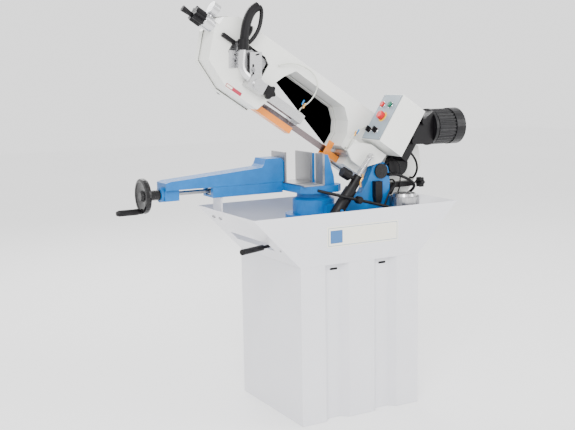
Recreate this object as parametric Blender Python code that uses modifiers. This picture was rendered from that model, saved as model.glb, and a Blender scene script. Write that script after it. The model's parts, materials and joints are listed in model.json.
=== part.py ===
"""Swivel band saw on a sheet-metal base, built from its separate pieces.

Units are metres. The origin is the centre of the base on the floor, +X runs along the vice
towards the motor, +Y runs from the operator's side to the back and +Z is up. The bow stands
raised. Everything on the bow is modelled in the bow's own axes (u along the blade, y across,
w at right angles to the blade) under one empty on the bow's pivot.
"""

import math

import bmesh
import bpy
from mathutils import Matrix, Vector

# ---- clearances -------------------------------------------------------------------------
TOUCH = 0.0003            # between pieces that rest on each other
RUNNING = 0.0008          # between pieces that move past each other

# ---- base cabinet and chip tray ---------------------------------------------------------
BASE_WIDTH = 0.580
BASE_DEPTH = 0.530
BASE_HEIGHT = 0.660
SHEET = 0.003
CHANNEL_OFFSET = 0.120    # of each front channel from the middle
CHANNEL_MOUTH = 0.116
CHANNEL_DEPTH = 0.027
TRAY_HEIGHT = 0.2115
TRAY_FLARE = 0.208        # how far each end wall leans out at its rim
SLOT_Z = 0.7395
SLOT_HEIGHT = 0.035
SLOT_FRONT = -0.165
SLOT_BACK = 0.180

# ---- pedestal and table -----------------------------------------------------------------
SWIVEL_X = -0.070
PEDESTAL_RADIUS = 0.090
FOOT_RADIUS = 0.120
TABLE_TOP = 0.966
TABLE_PLATE = 0.0057
FLANGE_THICKNESS = 0.030
TABLE_LEFT = -0.170
TABLE_RIGHT = 0.028
TABLE_FRONT = -0.100
TABLE_BACK = 0.160
JAW_FACE_X = -0.072
JAW_THICKNESS = 0.010
JAW_TOP = 1.093
JAW_FRONT = -0.082
JAW_BACK = 0.150
BLADE_GAP = 0.042         # between the two fixed jaws
BACKING = 0.015           # of the castings behind the fixed jaws
RIB = 0.022

# ---- vice -------------------------------------------------------------------------------
VICE_Y = 0.140
VICE_WIDTH = 0.100
BED_LEFT = -0.500
BED_BOTTOM = 0.922
BED_FLOOR = 0.008
SCREW_Z = 0.947
SCREW_RADIUS = 0.009
SCREW_CHANNEL = 0.056
NUT_LENGTH = 0.050
SLIDE_LEFT = -0.708
MOVING_JAW_X = -0.155
MOVING_JAW_WIDTH = 0.120
MOVING_JAW_THICKNESS = 0.009
COLLAR_LENGTH = 0.043
COLLAR_RADIUS = 0.031
HAND_WHEEL_RADIUS = 0.073
HAND_WHEEL_X = -0.791
GRIP_OFFSET = 0.062       # of the crank grip from the wheel's centre
GRIP_LENGTH = 0.100
GRIP_RADIUS = 0.013
POST_X = -0.457
POST_WIDTH = 0.083
POST_THICKNESS = 0.006
POST_FOOT = 0.050         # run of the foot down the tray wall

# ---- swivel arm -------------------------------------------------------------------------
ARM_FRONT = -0.118
ARM_BACK = -0.080
ARM_BOTTOM = 0.765
ARM_DECK = 0.835
ARM_RIGHT = 0.245
ARM_RING_RADIUS = 0.122
PIVOT_RADIUS = 0.016
PIVOT_CAP_RADIUS = 0.032
LEVER_Z = 0.735
LEVER_ANGLE = math.radians(201.8)
LEVER_LENGTH = 0.468
LEVER_RADIUS = 0.007
LEVER_GRIP = 0.125

# ---- bow --------------------------------------------------------------------------------
PIVOT_X = 0.197
PIVOT_Z = 1.007
BOW_TILT = math.radians(33.4)
BOW_FRONT = -0.075
BOW_BACK = 0.032
BOW_PLATE = 0.006
BOW_WALL = 0.005
COVER_BACK = 0.050
COVER_OVERLAP = 0.012
COVER_SHEET = 0.002
BLADE_W = -0.0327         # height of the cutting run over the pivot
BLADE_WIDTH = 0.027
BLADE_THICKNESS = 0.0009
BAND_WHEEL_RADIUS = 0.105
BAND_WHEEL_WIDTH = 0.032
DRIVE_U = 0.072
WHEEL_SPACING = 0.900
SHAFT_RADIUS = 0.012

IDLER_U = DRIVE_U - WHEEL_SPACING
WHEEL_W = BLADE_W + BAND_WHEEL_RADIUS
BASE_TOP = BASE_HEIGHT
TRAY_BOTTOM = BASE_TOP + TOUCH
TRAY_TOP = BASE_TOP + TRAY_HEIGHT
TABLE_SEAT = TABLE_TOP - TABLE_PLATE - TOUCH
FLANGE_BOTTOM = TABLE_SEAT - FLANGE_THICKNESS

ROUND = 32                # sides of round pieces
SMALL_ROUND = 20

MATERIALS = {
    "white_paint": ((0.74, 0.74, 0.76), 0.35, 0.0),
    "bow_paint": ((0.78, 0.78, 0.74), 0.35, 0.0),
    "blue_paint": ((0.01, 0.21, 0.48), 0.35, 0.0),
    "black_plastic": ((0.02, 0.02, 0.02), 0.45, 0.0),
    "ground_steel": ((0.42, 0.42, 0.43), 0.35, 1.0),
    "blade_steel": ((0.16, 0.13, 0.13), 0.40, 1.0),
    "orange_paint": ((0.86, 0.35, 0.02), 0.40, 0.0),
    "panel_grey": ((0.35, 0.41, 0.45), 0.50, 0.0),
    "red_plastic": ((0.70, 0.03, 0.04), 0.35, 0.0),
    "green_plastic": ((0.01, 0.13, 0.08), 0.35, 0.0),
    "clear_tube": ((0.72, 0.73, 0.68), 0.30, 0.0),
}

SCREW_END_X = -0.270      # right end of the vice screw
DRAIN_X = 0.200
DRAIN_Y = 0.180
DRAIN_RADIUS = 0.030
PUMP_X = 0.279
PUMP_Y = -0.180
PUMP_RADIUS = 0.064
PUMP_TOP = 0.912
PUMP_FOOT = 0.010
ARM_RISE = [(0.072, ARM_BOTTOM), (ARM_RIGHT, ARM_BOTTOM), (ARM_RIGHT, 0.985), (0.236, 1.024),
            (0.216, 1.044), (0.186, 1.048), (0.160, 1.030), (0.128, 0.965), (0.086, 0.900)]
FEED_Y = -0.159
FEED_FOOT = Vector((-0.045, FEED_Y, 0.862))
FEED_HEAD = Vector((0.120, FEED_Y, 1.078))
FEED_PIN = 0.006
FEED_RADIUS = 0.0262
FEED_NECK = 0.021
FEED_ROD = 0.006
HEAD_PIN = 0.0038
HEAD_EYE = 0.0125
HEAD_PLAY = 0.0036        # of the rod's eye round its pin, for the straight-line ratio
STOP_X = 0.376
STOP_Y = (ARM_FRONT + ARM_BACK) / 2
STOP_Z = 0.942
CLAMP_X = 0.036
CLAMP_Z = 0.902
CLAMP_BAR_LEFT = 0.206
CLAMP_BAR_RIGHT = 0.155
CLAMP_TILT = math.radians(15.2)
CLAMP_Y = -0.193
THROAT_LEFT = IDLER_U + 0.213
THROAT_RIGHT = DRIVE_U - 0.280
THROAT_TOP = 0.147
BEAM_TOP_LEFT = WHEEL_W + 0.1137
BEAM_TOP_RIGHT = WHEEL_W + 0.1337
BOW_OUTLINE = [
    (THROAT_LEFT - 0.015, -0.078), (IDLER_U + 0.038, -0.078),
    (IDLER_U - 0.084, WHEEL_W - 0.0983), (IDLER_U - 0.124, WHEEL_W + 0.0077),
    (IDLER_U - 0.114, WHEEL_W + 0.0777), (IDLER_U - 0.065, BEAM_TOP_LEFT),
    (DRIVE_U - 0.199, BEAM_TOP_RIGHT), (DRIVE_U + 0.073, BEAM_TOP_RIGHT),
    (DRIVE_U + 0.133, WHEEL_W + 0.0727), (DRIVE_U + 0.133, WHEEL_W - 0.0623),
    (DRIVE_U + 0.058, -0.058), (THROAT_RIGHT + 0.053, -0.058),
    (THROAT_RIGHT + 0.053, -0.010), (THROAT_RIGHT, 0.000),
    (THROAT_RIGHT, 0.058), (THROAT_RIGHT - 0.026, 0.107), (THROAT_RIGHT - 0.072, THROAT_TOP),
    (THROAT_LEFT + 0.055, THROAT_TOP), (THROAT_LEFT + 0.018, 0.097),
    (THROAT_LEFT - 0.005, 0.048), (THROAT_LEFT + 0.013, -0.008),
]
WINDOW = [(IDLER_U - 0.032, 0.048), (IDLER_U - 0.010, 0.024), (IDLER_U + 0.125, 0.024),
          (IDLER_U + 0.148, 0.048), (IDLER_U + 0.148, 0.100), (IDLER_U + 0.120, 0.118),
          (IDLER_U - 0.010, 0.118), (IDLER_U - 0.032, 0.090)]
GUIDE_KNOB_U = THROAT_LEFT - 0.0155
GUIDE_KNOB_W = 0.004
TENSION_W = 0.096
TENSION_Y = -0.050
TENSION_SCREW = 0.006
BOSS_RADIUS = 0.024
COVER_CLEARANCE = 0.0045
COVER_HINGE = 0.004       # radius of the hinge's knuckle
COVER_KNOB_U = IDLER_U + 0.078
COVER_KNOB_W = -0.074
HINGE_RISE = 0.0255       # how far the beam's top climbs along it, per unit
HINGE_ENDS = [(u, BEAM_TOP_LEFT + (u - IDLER_U + 0.065) * HINGE_RISE)
              for u in (IDLER_U - 0.020, DRIVE_U - 0.240)]
BRACKET_FRONT = -0.1315
BRACKET_BACK = -0.1225
BRACKET = [(-0.2025, -0.013), (-0.1925, 0.027), (-0.150, 0.052), (-0.110, 0.068),
           (-0.020, 0.068), (-0.026, 0.030), (-0.0995, -0.042), (-0.1625, -0.039)]
BOX_LEFT = -0.1345
BOX_RIGHT = 0.0
BOX_LOW = 0.078
BOX_HIGH = 0.302
BOX_FRONT = -0.212
BOX_SHEET = 0.003
PANEL = 0.0025
GEARBOX_FRONT = -0.185
STEM = 0.006
BUTTON_TRAVEL = 0.004
CONTROLS = [
    ("stop_button", -0.109, 0.247, 0.0125, "red_plastic"),
    ("start_button", -0.164, 0.247, 0.0125, "green_plastic"),
    ("emergency_stop", -0.150, 0.190, 0.0180, "red_plastic"),
    ("selector_left", -0.107, 0.122, 0.0125, "black_plastic"),
    ("selector_right", -0.154, 0.122, 0.0125, "black_plastic"),
]
MOTOR_START = Vector((0.0954, -0.130, 0.2785))
MOTOR_RADIUS = 0.080
MOTOR_LENGTH = 0.125
COWL_LENGTH = 0.036
WEDGE_LENGTH = 0.0004
WHEEL_SIDES = 48
BAND_RADIUS = (BAND_WHEEL_RADIUS + TOUCH) / math.cos(math.pi / WHEEL_SIDES) + BLADE_THICKNESS / 2
AXLE = 0.011
CARRIAGE_Y = (-0.063, -0.036)
TWIST_LEFT = 0.373
TWIST_RIGHT = 0.232
BLADE_WANDER = 0.00005    # sideways run-out of the band, to either side by turns
BACK_STEPS = 12           # of the returning run
BLADE_STEPS = 60          # of the cutting run, which is twisted
GUIDE_BAR_Y = (-0.055, -0.0275)
GUIDE_BAR_W = (-0.019, 0.0205)
LEFT_BLOCK = (-0.452, -0.415)
RIGHT_BLOCK = (THROAT_RIGHT - 0.0005, THROAT_RIGHT + 0.043)
RIGHT_BLOCK_TOP = -0.0125
BLADE_SLOT = 0.0013
HANDLE_Y = -0.108
HANDLE_TUBE = 0.0140
HANDLE_ROUTE = [(-0.705, -0.010), (-0.742, -0.001), (-0.772, 0.004), (-0.793, 0.018),
                (-0.806, 0.040), (-0.832, 0.092)]
GRIP_ROUTE = [(-0.828, 0.094), (-0.846, 0.130), (-0.860, 0.165), (-0.868, 0.200),
              (-0.867, 0.232), (-0.856, 0.256)]
GUARD_ROUTE = [(-0.826, 0.100), (-0.812, 0.122), (-0.806, 0.155), (-0.808, 0.190),
               (-0.820, 0.225), (-0.836, 0.252), (-0.852, 0.260)]
MOTOR_CABLE = [
    (0.0558, -0.150, 0.136), (0.075, -0.150, 0.136), (0.119, -0.143, 0.125),
    (0.154, -0.130, 0.106), (0.173, -0.114, 0.086), (0.1805, -0.100, 0.071),
    (0.182, -0.088, 0.067), (0.182, -0.0756, 0.067)]
PUMP_CONDUIT = [
    (0.2365, -0.1188, 0.990), (0.2367, -0.131, 0.990), (0.252, -0.139, 0.991),
    (0.2776, -0.140, 0.986), (0.315, -0.140, 0.971), (0.3475, -0.138, 0.953),
    (0.368, -0.131, 0.931), (0.360, -0.112, 0.906), (0.330, -0.095, 0.890),
    (0.295, -0.0885, 0.882), (0.262, -0.0885, 0.880), (0.2456, -0.0885, 0.880)]
SWITCH_CABLE = [
    (0.219, -0.1188, 1.036), (0.220, -0.128, 1.037), (0.238, -0.130, 1.046),
    (0.262, -0.130, 1.048), (0.285, -0.130, 1.036), (0.2935, -0.129, 1.008),
    (0.2965, -0.1245, 0.965), (0.2965, -0.120, 0.930), (0.291, -0.1095, 0.900),
    (0.276, -0.1085, 0.870), (0.256, -0.108, 0.858), (0.2456, -0.108, 0.858)]
COOLANT_HOSE = [
    (0.2456, -0.104, 0.964), (0.258, -0.106, 0.964), (0.268, -0.113, 0.962),
    (0.269, -0.1235, 0.948), (0.255, -0.1255, 0.931), (0.238, -0.1265, 0.912),
    (0.224, -0.128, 0.886), (0.212, -0.129, 0.860), (0.204, -0.130, 0.838),
    (0.2015, -0.1285, 0.822), (0.201, -0.1188, 0.819)]
LEFT_TUBE = [
    (-0.640, -0.0756, 0.120), (-0.640, -0.083, 0.120), (-0.634, -0.089, 0.130),
    (-0.600, -0.092, 0.157), (-0.545, -0.094, 0.176), (-0.490, -0.092, 0.175),
    (-0.450, -0.088, 0.150), (-0.436, -0.078, 0.108), (-0.432, -0.056, 0.075),
    (-0.4315, -0.030, 0.058), (-0.4315, -0.018, 0.044), (-0.4315, -0.0178, 0.0304)]
RIGHT_TUBE = [
    (-0.150, -0.0756, 0.130), (-0.150, -0.083, 0.130), (-0.158, -0.089, 0.121),
    (-0.178, -0.097, 0.097), (-0.194, -0.102, 0.062), (-0.1945, -0.104, 0.020),
    (-0.1945, -0.104, -0.0131)]


# ---- scene and object helpers -----------------------------------------------------------
def clear_scene():
    for old in list(bpy.data.objects):
        bpy.data.objects.remove(old, do_unlink=True)


def new_collection(name):
    collection = bpy.data.collections.new(name)
    bpy.context.scene.collection.children.link(collection)
    return collection


def material(name):
    """The shared finish of that name, made on its first use."""
    found = bpy.data.materials.get(name)
    if found:
        return found
    colour, roughness, metallic = MATERIALS[name]
    made = bpy.data.materials.new(name)
    made.use_nodes = True
    shader = made.node_tree.nodes["Principled BSDF"]
    shader.inputs["Base Color"].default_value = (*colour, 1.0)
    shader.inputs["Roughness"].default_value = roughness
    shader.inputs["Metallic"].default_value = metallic
    return made


clear_scene()
PARTS = new_collection("band_saw")
CUTTERS = new_collection("cutters")


def empty(name, place, turn=Matrix.Identity(4), parent=None):
    """An empty on a joint's axis. Its pieces are modelled in its own axes."""
    holder = bpy.data.objects.new(name, None)
    PARTS.objects.link(holder)
    holder.parent = parent
    holder.matrix_basis = Matrix.Translation(place) @ turn
    return holder


BOW = empty("bow_axis", (PIVOT_X, 0.0, PIVOT_Z), Matrix.Rotation(BOW_TILT, 4, "Y"))


def place_mesh(name, mesh, finish, parent=None, smooth=True):
    """Turns a mesh into a piece, or into a cutter when it has no finish."""
    made = bpy.data.objects.new(name, mesh)
    if finish:
        PARTS.objects.link(made)
        mesh.materials.append(material(finish))
    else:
        CUTTERS.objects.link(made)
        made.hide_render = True
        made.display_type = "WIRE"
    made.parent = parent
    if smooth:
        mesh.shade_smooth()
        mesh.set_sharp_from_angle(angle=math.radians(35.0))
    return made


def box(name, low, high, finish=None, parent=None):
    """A block between two corners."""
    low, high = Vector(low), Vector(high)
    shape = bmesh.new()
    bmesh.ops.create_cube(shape, size=1.0)
    size = high - low
    grow = Matrix.Diagonal((*size, 1.0))
    bmesh.ops.transform(shape, matrix=Matrix.Translation((low + high) / 2) @ grow,
                        verts=shape.verts)
    mesh = bpy.data.meshes.new(name)
    shape.to_mesh(mesh)
    shape.free()
    return place_mesh(name, mesh, finish, parent, smooth=False)


def rod(name, start, end, radius, finish=None, parent=None, sides=ROUND, end_radius=None):
    """A round bar or cone from one point to another."""
    start, end = Vector(start), Vector(end)
    along = end - start
    shape = bmesh.new()
    tip = radius if end_radius is None else end_radius
    bmesh.ops.create_cone(shape, cap_ends=True, segments=sides, radius1=radius,
                          radius2=tip, depth=along.length)
    turn = along.to_track_quat("Z", "Y").to_matrix().to_4x4()
    bmesh.ops.transform(shape, matrix=Matrix.Translation((start + end) / 2) @ turn,
                        verts=shape.verts)
    mesh = bpy.data.meshes.new(name)
    shape.to_mesh(mesh)
    shape.free()
    return place_mesh(name, mesh, finish, parent)


def ball(name, centre, radius, finish=None, parent=None):
    shape = bmesh.new()
    bmesh.ops.create_uvsphere(shape, u_segments=SMALL_ROUND, v_segments=12, radius=radius)
    bmesh.ops.translate(shape, vec=Vector(centre), verts=shape.verts)
    mesh = bpy.data.meshes.new(name)
    shape.to_mesh(mesh)
    shape.free()
    return place_mesh(name, mesh, finish, parent)


def mesh_of(source, name):
    """The evaluated mesh of a curve with its loose caps welded on."""
    bpy.context.view_layer.update()
    graph = bpy.context.evaluated_depsgraph_get()
    mesh = bpy.data.meshes.new_from_object(source.evaluated_get(graph))
    mesh.name = name
    mesh.materials.clear()
    shape = bmesh.new()
    shape.from_mesh(mesh)
    bmesh.ops.remove_doubles(shape, verts=shape.verts, dist=0.00002)
    shape.to_mesh(mesh)
    shape.free()
    return mesh


def prism(name, outline, low, high, finish=None, parent=None, axis="Y"):
    """A flat outline with thickness. Along Y its points are (x, z), along X they are
    (y, z) and along Z they are (x, y)."""
    curve = bpy.data.curves.new(name, "CURVE")
    curve.dimensions = "2D"
    curve.fill_mode = "BOTH"
    curve.extrude = (high - low) / 2
    line = curve.splines.new("POLY")
    line.points.add(len(outline) - 1)
    for point, (first, second) in zip(line.points, outline):
        point.co = (first, second, 0.0, 1.0)
    line.use_cyclic_u = True
    drawn = bpy.data.objects.new(name, curve)
    PARTS.objects.link(drawn)
    mesh = mesh_of(drawn, name)
    bpy.data.objects.remove(drawn)
    middle = (high + low) / 2
    turns = {
        "Y": Matrix(((1, 0, 0, 0), (0, 0, -1, middle), (0, 1, 0, 0), (0, 0, 0, 1))),
        "X": Matrix(((0, 0, 1, middle), (1, 0, 0, 0), (0, 1, 0, 0), (0, 0, 0, 1))),
        "Z": Matrix.Translation((0, 0, middle)),
    }
    mesh.transform(turns[axis])
    return place_mesh(name, mesh, finish, parent, smooth=False)


def dish(name, outline, sheet, low, high, finish=None, parent=None):
    """A flat-bottomed dish of sheet that opens towards -Y, its bottom's back face at high."""
    inner = grown(outline, -sheet)
    shape = bmesh.new()
    loops = [[shape.verts.new((x, y, z)) for x, z in points]
             for points, y in ((inner, high - sheet), (inner, low), (outline, low), (outline, high))]
    for loop, following in zip(loops, loops[1:]):
        for k in range(len(loop)):
            shape.faces.new((loop[k - 1], loop[k], following[k], following[k - 1]))
    shape.faces.new(loops[0])
    shape.faces.new(loops[-1])
    bmesh.ops.triangulate(shape, faces=shape.faces)
    bmesh.ops.recalc_face_normals(shape, faces=shape.faces)
    mesh = bpy.data.meshes.new(name)
    shape.to_mesh(mesh)
    shape.free()
    return place_mesh(name, mesh, finish, parent, smooth=False)


def tube(name, points, radius, finish, parent=None, fineness=2):
    """A bent bar or hose: a bevelled curve through the points."""
    curve = bpy.data.curves.new(name, "CURVE")
    curve.dimensions = "3D"
    curve.bevel_depth = radius
    curve.bevel_resolution = fineness
    curve.use_fill_caps = True
    line = curve.splines.new("POLY")
    line.points.add(len(points) - 1)
    for point, place in zip(line.points, points):
        point.co = (*place, 1.0)
    drawn = bpy.data.objects.new(name, curve)
    PARTS.objects.link(drawn)
    mesh = mesh_of(drawn, name)
    bpy.data.objects.remove(drawn)
    return place_mesh(name, mesh, finish, parent)


def smooth_route(points, count):
    """Points at even steps of a Catmull-Rom curve through the given points."""
    route = [Vector(p) for p in points]
    padded = [2 * route[0] - route[1], *route, 2 * route[-1] - route[-2]]
    spans = len(route) - 1
    found = []
    for index in range(count):
        where = index / (count - 1) * spans
        span = min(int(where), spans - 1)
        t = where - span
        a, b, c, d = padded[span:span + 4]
        found.append(0.5 * (2 * b + (c - a) * t + (2 * a - 5 * b + 4 * c - d) * t ** 2
                            + (3 * b - a - 3 * c + d) * t ** 3))
    return found


def turned(name, profile, finish=None, parent=None, place=(0, 0, 0), axis="Z", sides=ROUND):
    """A turned piece: (radius, height) points from the top centre to the bottom centre."""
    shape = bmesh.new()
    closed = profile[0] == profile[-1]
    corners = [shape.verts.new((radius, 0.0, height)) for radius, height in profile[:len(profile) - closed]]
    if closed:
        corners.append(corners[0])
    for first, second in zip(corners, corners[1:]):
        shape.edges.new((first, second))
    mesh = bpy.data.meshes.new(name)
    shape.to_mesh(mesh)
    shape.free()
    made = place_mesh(name, mesh, finish, parent, smooth=False)
    spin = made.modifiers.new("turn", "SCREW")
    spin.axis = "Z"
    spin.steps = sides
    spin.render_steps = sides
    spin.use_merge_vertices = True
    spin.merge_threshold = 0.00005
    spin.use_smooth_shade = False
    turn = {"Z": Matrix.Identity(4), "X": Matrix.Rotation(math.pi / 2, 4, "Y"),
            "-X": Matrix.Rotation(-math.pi / 2, 4, "Y"),
            "-Y": Matrix.Rotation(math.pi / 2, 4, "X"),
            "Y": Matrix.Rotation(-math.pi / 2, 4, "X")}[axis]
    made.matrix_basis = Matrix.Translation(place) @ turn
    return made


def combine(target, tool, operation):
    change = target.modifiers.new(tool.name, "BOOLEAN")
    change.operation = operation
    change.solver = "EXACT"
    change.object = tool
    return target


def cut(target, *tools):
    for tool in tools:
        combine(target, tool, "DIFFERENCE")
    return target


def join(target, *tools):
    for tool in tools:
        combine(target, tool, "UNION")
    return target


def grown(outline, amount):
    """The outline moved outwards by an amount, with its corners kept sharp."""
    area = sum(a[0] * b[1] - b[0] * a[1] for a, b in zip(outline, outline[1:] + outline[:1]))
    side = 1.0 if area > 0 else -1.0
    moved = []
    for index, here in enumerate(outline):
        before, after = outline[index - 1], outline[(index + 1) % len(outline)]
        first = (Vector(here) - Vector(before)).normalized()
        second = (Vector(after) - Vector(here)).normalized()
        out_1 = Vector((first.y, -first.x)) * side
        out_2 = Vector((second.y, -second.x)) * side
        both = out_1 + out_2
        moved.append(tuple(Vector(here) + both * (amount / (1.0 + out_1.dot(out_2)))))
    return moved


def disc_outline(centre, radius, count=24, start=0.0, end=2 * math.pi):
    """Points of an arc, without its last one when it is a full circle."""
    full = abs(end - start - 2 * math.pi) < 1e-6
    steps = count if full else count - 1
    return [(centre[0] + radius * math.cos(start + (end - start) * k / steps),
             centre[1] + radius * math.sin(start + (end - start) * k / steps))
            for k in range(count)]


# ---- base: cabinet, tray, pedestal and table --------------------------------------------
def cabinet_plan(inset):
    """Plan of the cabinet's sheet, moved inwards by an amount: a rectangle with two
    45 degree channels folded into its front."""
    half_width = BASE_WIDTH / 2 - inset
    half_depth = BASE_DEPTH / 2 - inset
    spread = CHANNEL_MOUTH / 2 + inset * math.tan(math.pi / 8)
    plan = [(-half_width, half_depth), (-half_width, -half_depth)]
    for middle in (-CHANNEL_OFFSET, CHANNEL_OFFSET):
        floor = spread - CHANNEL_DEPTH
        plan += [(middle - spread, -half_depth), (middle - floor, -half_depth + CHANNEL_DEPTH),
                 (middle + floor, -half_depth + CHANNEL_DEPTH), (middle + spread, -half_depth)]
    return plan + [(half_width, -half_depth), (half_width, half_depth)]


def make_cabinet():
    cabinet = prism("cabinet", cabinet_plan(0.0), 0.0, BASE_HEIGHT, "white_paint", axis="Z")
    hollow = prism("cabinet_hollow", cabinet_plan(SHEET), SHEET, BASE_HEIGHT - SHEET, axis="Z")
    drain = rod("cabinet_drain", (DRAIN_X, DRAIN_Y, BASE_HEIGHT - 2 * SHEET),
                (DRAIN_X, DRAIN_Y, BASE_HEIGHT + SHEET), DRAIN_RADIUS)
    cut(cabinet, hollow, drain)


def tray_end(z, inset):
    """Half length of the tray at a height, moved inwards by the sheet."""
    lean = TRAY_FLARE / TRAY_HEIGHT
    return BASE_WIDTH / 2 + (z - TRAY_BOTTOM) * lean - inset * math.hypot(1.0, lean)


def make_tray():
    rim = TRAY_TOP
    outer = [(-BASE_WIDTH / 2, TRAY_BOTTOM), (BASE_WIDTH / 2, TRAY_BOTTOM),
             (tray_end(rim, 0), rim), (-tray_end(rim, 0), rim)]
    floor = TRAY_BOTTOM + SHEET
    above = rim + 0.02
    inner = [(-tray_end(floor, SHEET), floor), (tray_end(floor, SHEET), floor),
             (tray_end(above, SHEET), above), (-tray_end(above, SHEET), above)]
    half = BASE_DEPTH / 2
    tray = prism("tray", outer, -half, half, "white_paint")
    hollow = prism("tray_hollow", inner, -half + SHEET, half - SHEET)
    slot = box("lever_slot", (-tray_end(SLOT_Z, 0) - 0.05, SLOT_FRONT, SLOT_Z - SLOT_HEIGHT / 2),
               (-tray_end(SLOT_Z, 0) + 0.05, SLOT_BACK, SLOT_Z + SLOT_HEIGHT / 2))
    drain = rod("tray_drain", (DRAIN_X, DRAIN_Y, BASE_TOP - 0.01),
                (DRAIN_X, DRAIN_Y, floor + 0.01), DRAIN_RADIUS)
    cut(tray, hollow, slot, drain)


def make_pedestal():
    foot = TRAY_BOTTOM + SHEET + TOUCH
    top = FLANGE_BOTTOM - TOUCH
    turned("pedestal", [
        (0.0, top), (PEDESTAL_RADIUS - 0.018, top), (PEDESTAL_RADIUS - 0.018, top - 0.022),
        (PEDESTAL_RADIUS, top - 0.032), (PEDESTAL_RADIUS, foot + 0.026),
        (FOOT_RADIUS, foot + 0.020), (FOOT_RADIUS, foot), (0.0, foot),
    ], "blue_paint", place=(SWIVEL_X, 0.0, 0.0), sides=40)


def jaw_casting(side):
    """Backing and sloping rib behind one fixed jaw, side -1 in front of the blade."""
    near = side * (BLADE_GAP / 2 + 0.004)
    far = JAW_FRONT if side < 0 else JAW_BACK
    left = JAW_FACE_X + JAW_THICKNESS + TOUCH
    name = "front" if side < 0 else "rear"
    foot = TABLE_SEAT - 0.004
    backing = box(f"{name}_backing", (left, min(near, far), foot),
                  (left + BACKING, max(near, far), JAW_TOP - 0.004))
    profile = [(left + 0.002, foot), (left + BACKING + 0.034, foot),
               (left + BACKING + 0.030, TABLE_TOP + 0.03), (left + BACKING + 0.002, JAW_TOP - 0.006),
               (left + 0.002, JAW_TOP - 0.006)]
    inward = far - side * RIB
    rib = prism(f"{name}_rib", profile, min(inward, far) + 0.0005, max(inward, far) - 0.0005)
    return backing, rib


def make_table():
    chamfer = 0.035
    plan = [(TABLE_LEFT, TABLE_FRONT + chamfer), (TABLE_LEFT + chamfer, TABLE_FRONT),
            (TABLE_RIGHT - chamfer, TABLE_FRONT), (TABLE_RIGHT, TABLE_FRONT + chamfer),
            (TABLE_RIGHT, TABLE_BACK - chamfer), (TABLE_RIGHT - chamfer, TABLE_BACK),
            (TABLE_LEFT + chamfer, TABLE_BACK), (TABLE_LEFT, TABLE_BACK - chamfer)]
    flange = prism("table_casting", plan, FLANGE_BOTTOM, TABLE_SEAT, "blue_paint", axis="Z")
    for side in (-1, 1):
        join(flange, *jaw_casting(side))
    slot = box("blade_slot", (JAW_FACE_X - 0.060, -BLADE_GAP / 2, TABLE_SEAT - 0.016),
               (TABLE_RIGHT + 0.02, BLADE_GAP / 2, TABLE_TOP))
    cut(flange, slot)
    inner = 0.012
    plate = box("table_plate", (TABLE_LEFT + 0.004, TABLE_FRONT + inner, TABLE_SEAT + TOUCH),
                (JAW_FACE_X - TOUCH, TABLE_BACK - inner, TABLE_TOP), "ground_steel")
    narrow = 0.005
    cut(plate, box("plate_slot", (JAW_FACE_X - 0.085, -narrow, TABLE_SEAT - 0.01),
                   (JAW_FACE_X + 0.01, narrow, TABLE_TOP + 0.01)))
    for name, low, high in (("fixed_jaw_front", JAW_FRONT, -BLADE_GAP / 2),
                            ("fixed_jaw_rear", BLADE_GAP / 2, JAW_BACK)):
        box(name, (JAW_FACE_X, low, TABLE_SEAT + TOUCH),
            (JAW_FACE_X + JAW_THICKNESS, high, JAW_TOP), "ground_steel")


def make_pump():
    floor = TRAY_BOTTOM + SHEET + TOUCH
    turned("coolant_pump", [
        (0.0, PUMP_TOP), (PUMP_RADIUS - 0.016, PUMP_TOP), (PUMP_RADIUS - 0.012, PUMP_TOP - 0.012),
        (PUMP_RADIUS, PUMP_TOP - 0.013), (PUMP_RADIUS, 0.735), (0.030, 0.728),
        (0.030, 0.705), (PUMP_FOOT, 0.690), (PUMP_FOOT, floor), (0.0, floor),
    ], "ground_steel", place=(PUMP_X, PUMP_Y, 0.0))


# ---- vice -------------------------------------------------------------------------------
def make_bed():
    front, back = VICE_Y - VICE_WIDTH / 2, VICE_Y + VICE_WIDTH / 2
    right = TABLE_LEFT - TOUCH
    bed = box("vice_bed", (BED_LEFT, front, BED_BOTTOM), (right, back, TABLE_TOP), "blue_paint")
    half = SCREW_CHANNEL / 2
    channel = box("bed_channel", (BED_LEFT - 0.01, VICE_Y - half, BED_BOTTOM + BED_FLOOR),
                  (right - 0.012, VICE_Y + half, TABLE_TOP + 0.01))
    cut(bed, channel)
    nut = box("vice_nut", (BED_LEFT + 0.006, VICE_Y - half + TOUCH, BED_BOTTOM + BED_FLOOR + TOUCH),
              (BED_LEFT + 0.006 + NUT_LENGTH, VICE_Y + half - TOUCH, TABLE_TOP - 0.001),
              "ground_steel")
    cut(nut, rod("nut_bore", (BED_LEFT - 0.01, VICE_Y, SCREW_Z),
                 (BED_LEFT + 0.08, VICE_Y, SCREW_Z), SCREW_RADIUS + RUNNING))
    half_post = POST_WIDTH / 2
    lean = TRAY_FLARE / TRAY_HEIGHT
    left, right = POST_X - POST_THICKNESS / 2, POST_X + POST_THICKNESS / 2
    bend_z = TRAY_TOP - (left + tray_end(TRAY_TOP, SHEET + TOUCH)) / lean
    foot_z = bend_z - POST_FOOT / lean
    profile = [(left, bend_z), (left + POST_FOOT, foot_z), (right + POST_FOOT, foot_z),
               (right, bend_z), (right, BED_BOTTOM - TOUCH), (left, BED_BOTTOM - TOUCH)]
    prism("vice_post", profile, VICE_Y - half_post, VICE_Y + half_post, "white_paint")


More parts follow.
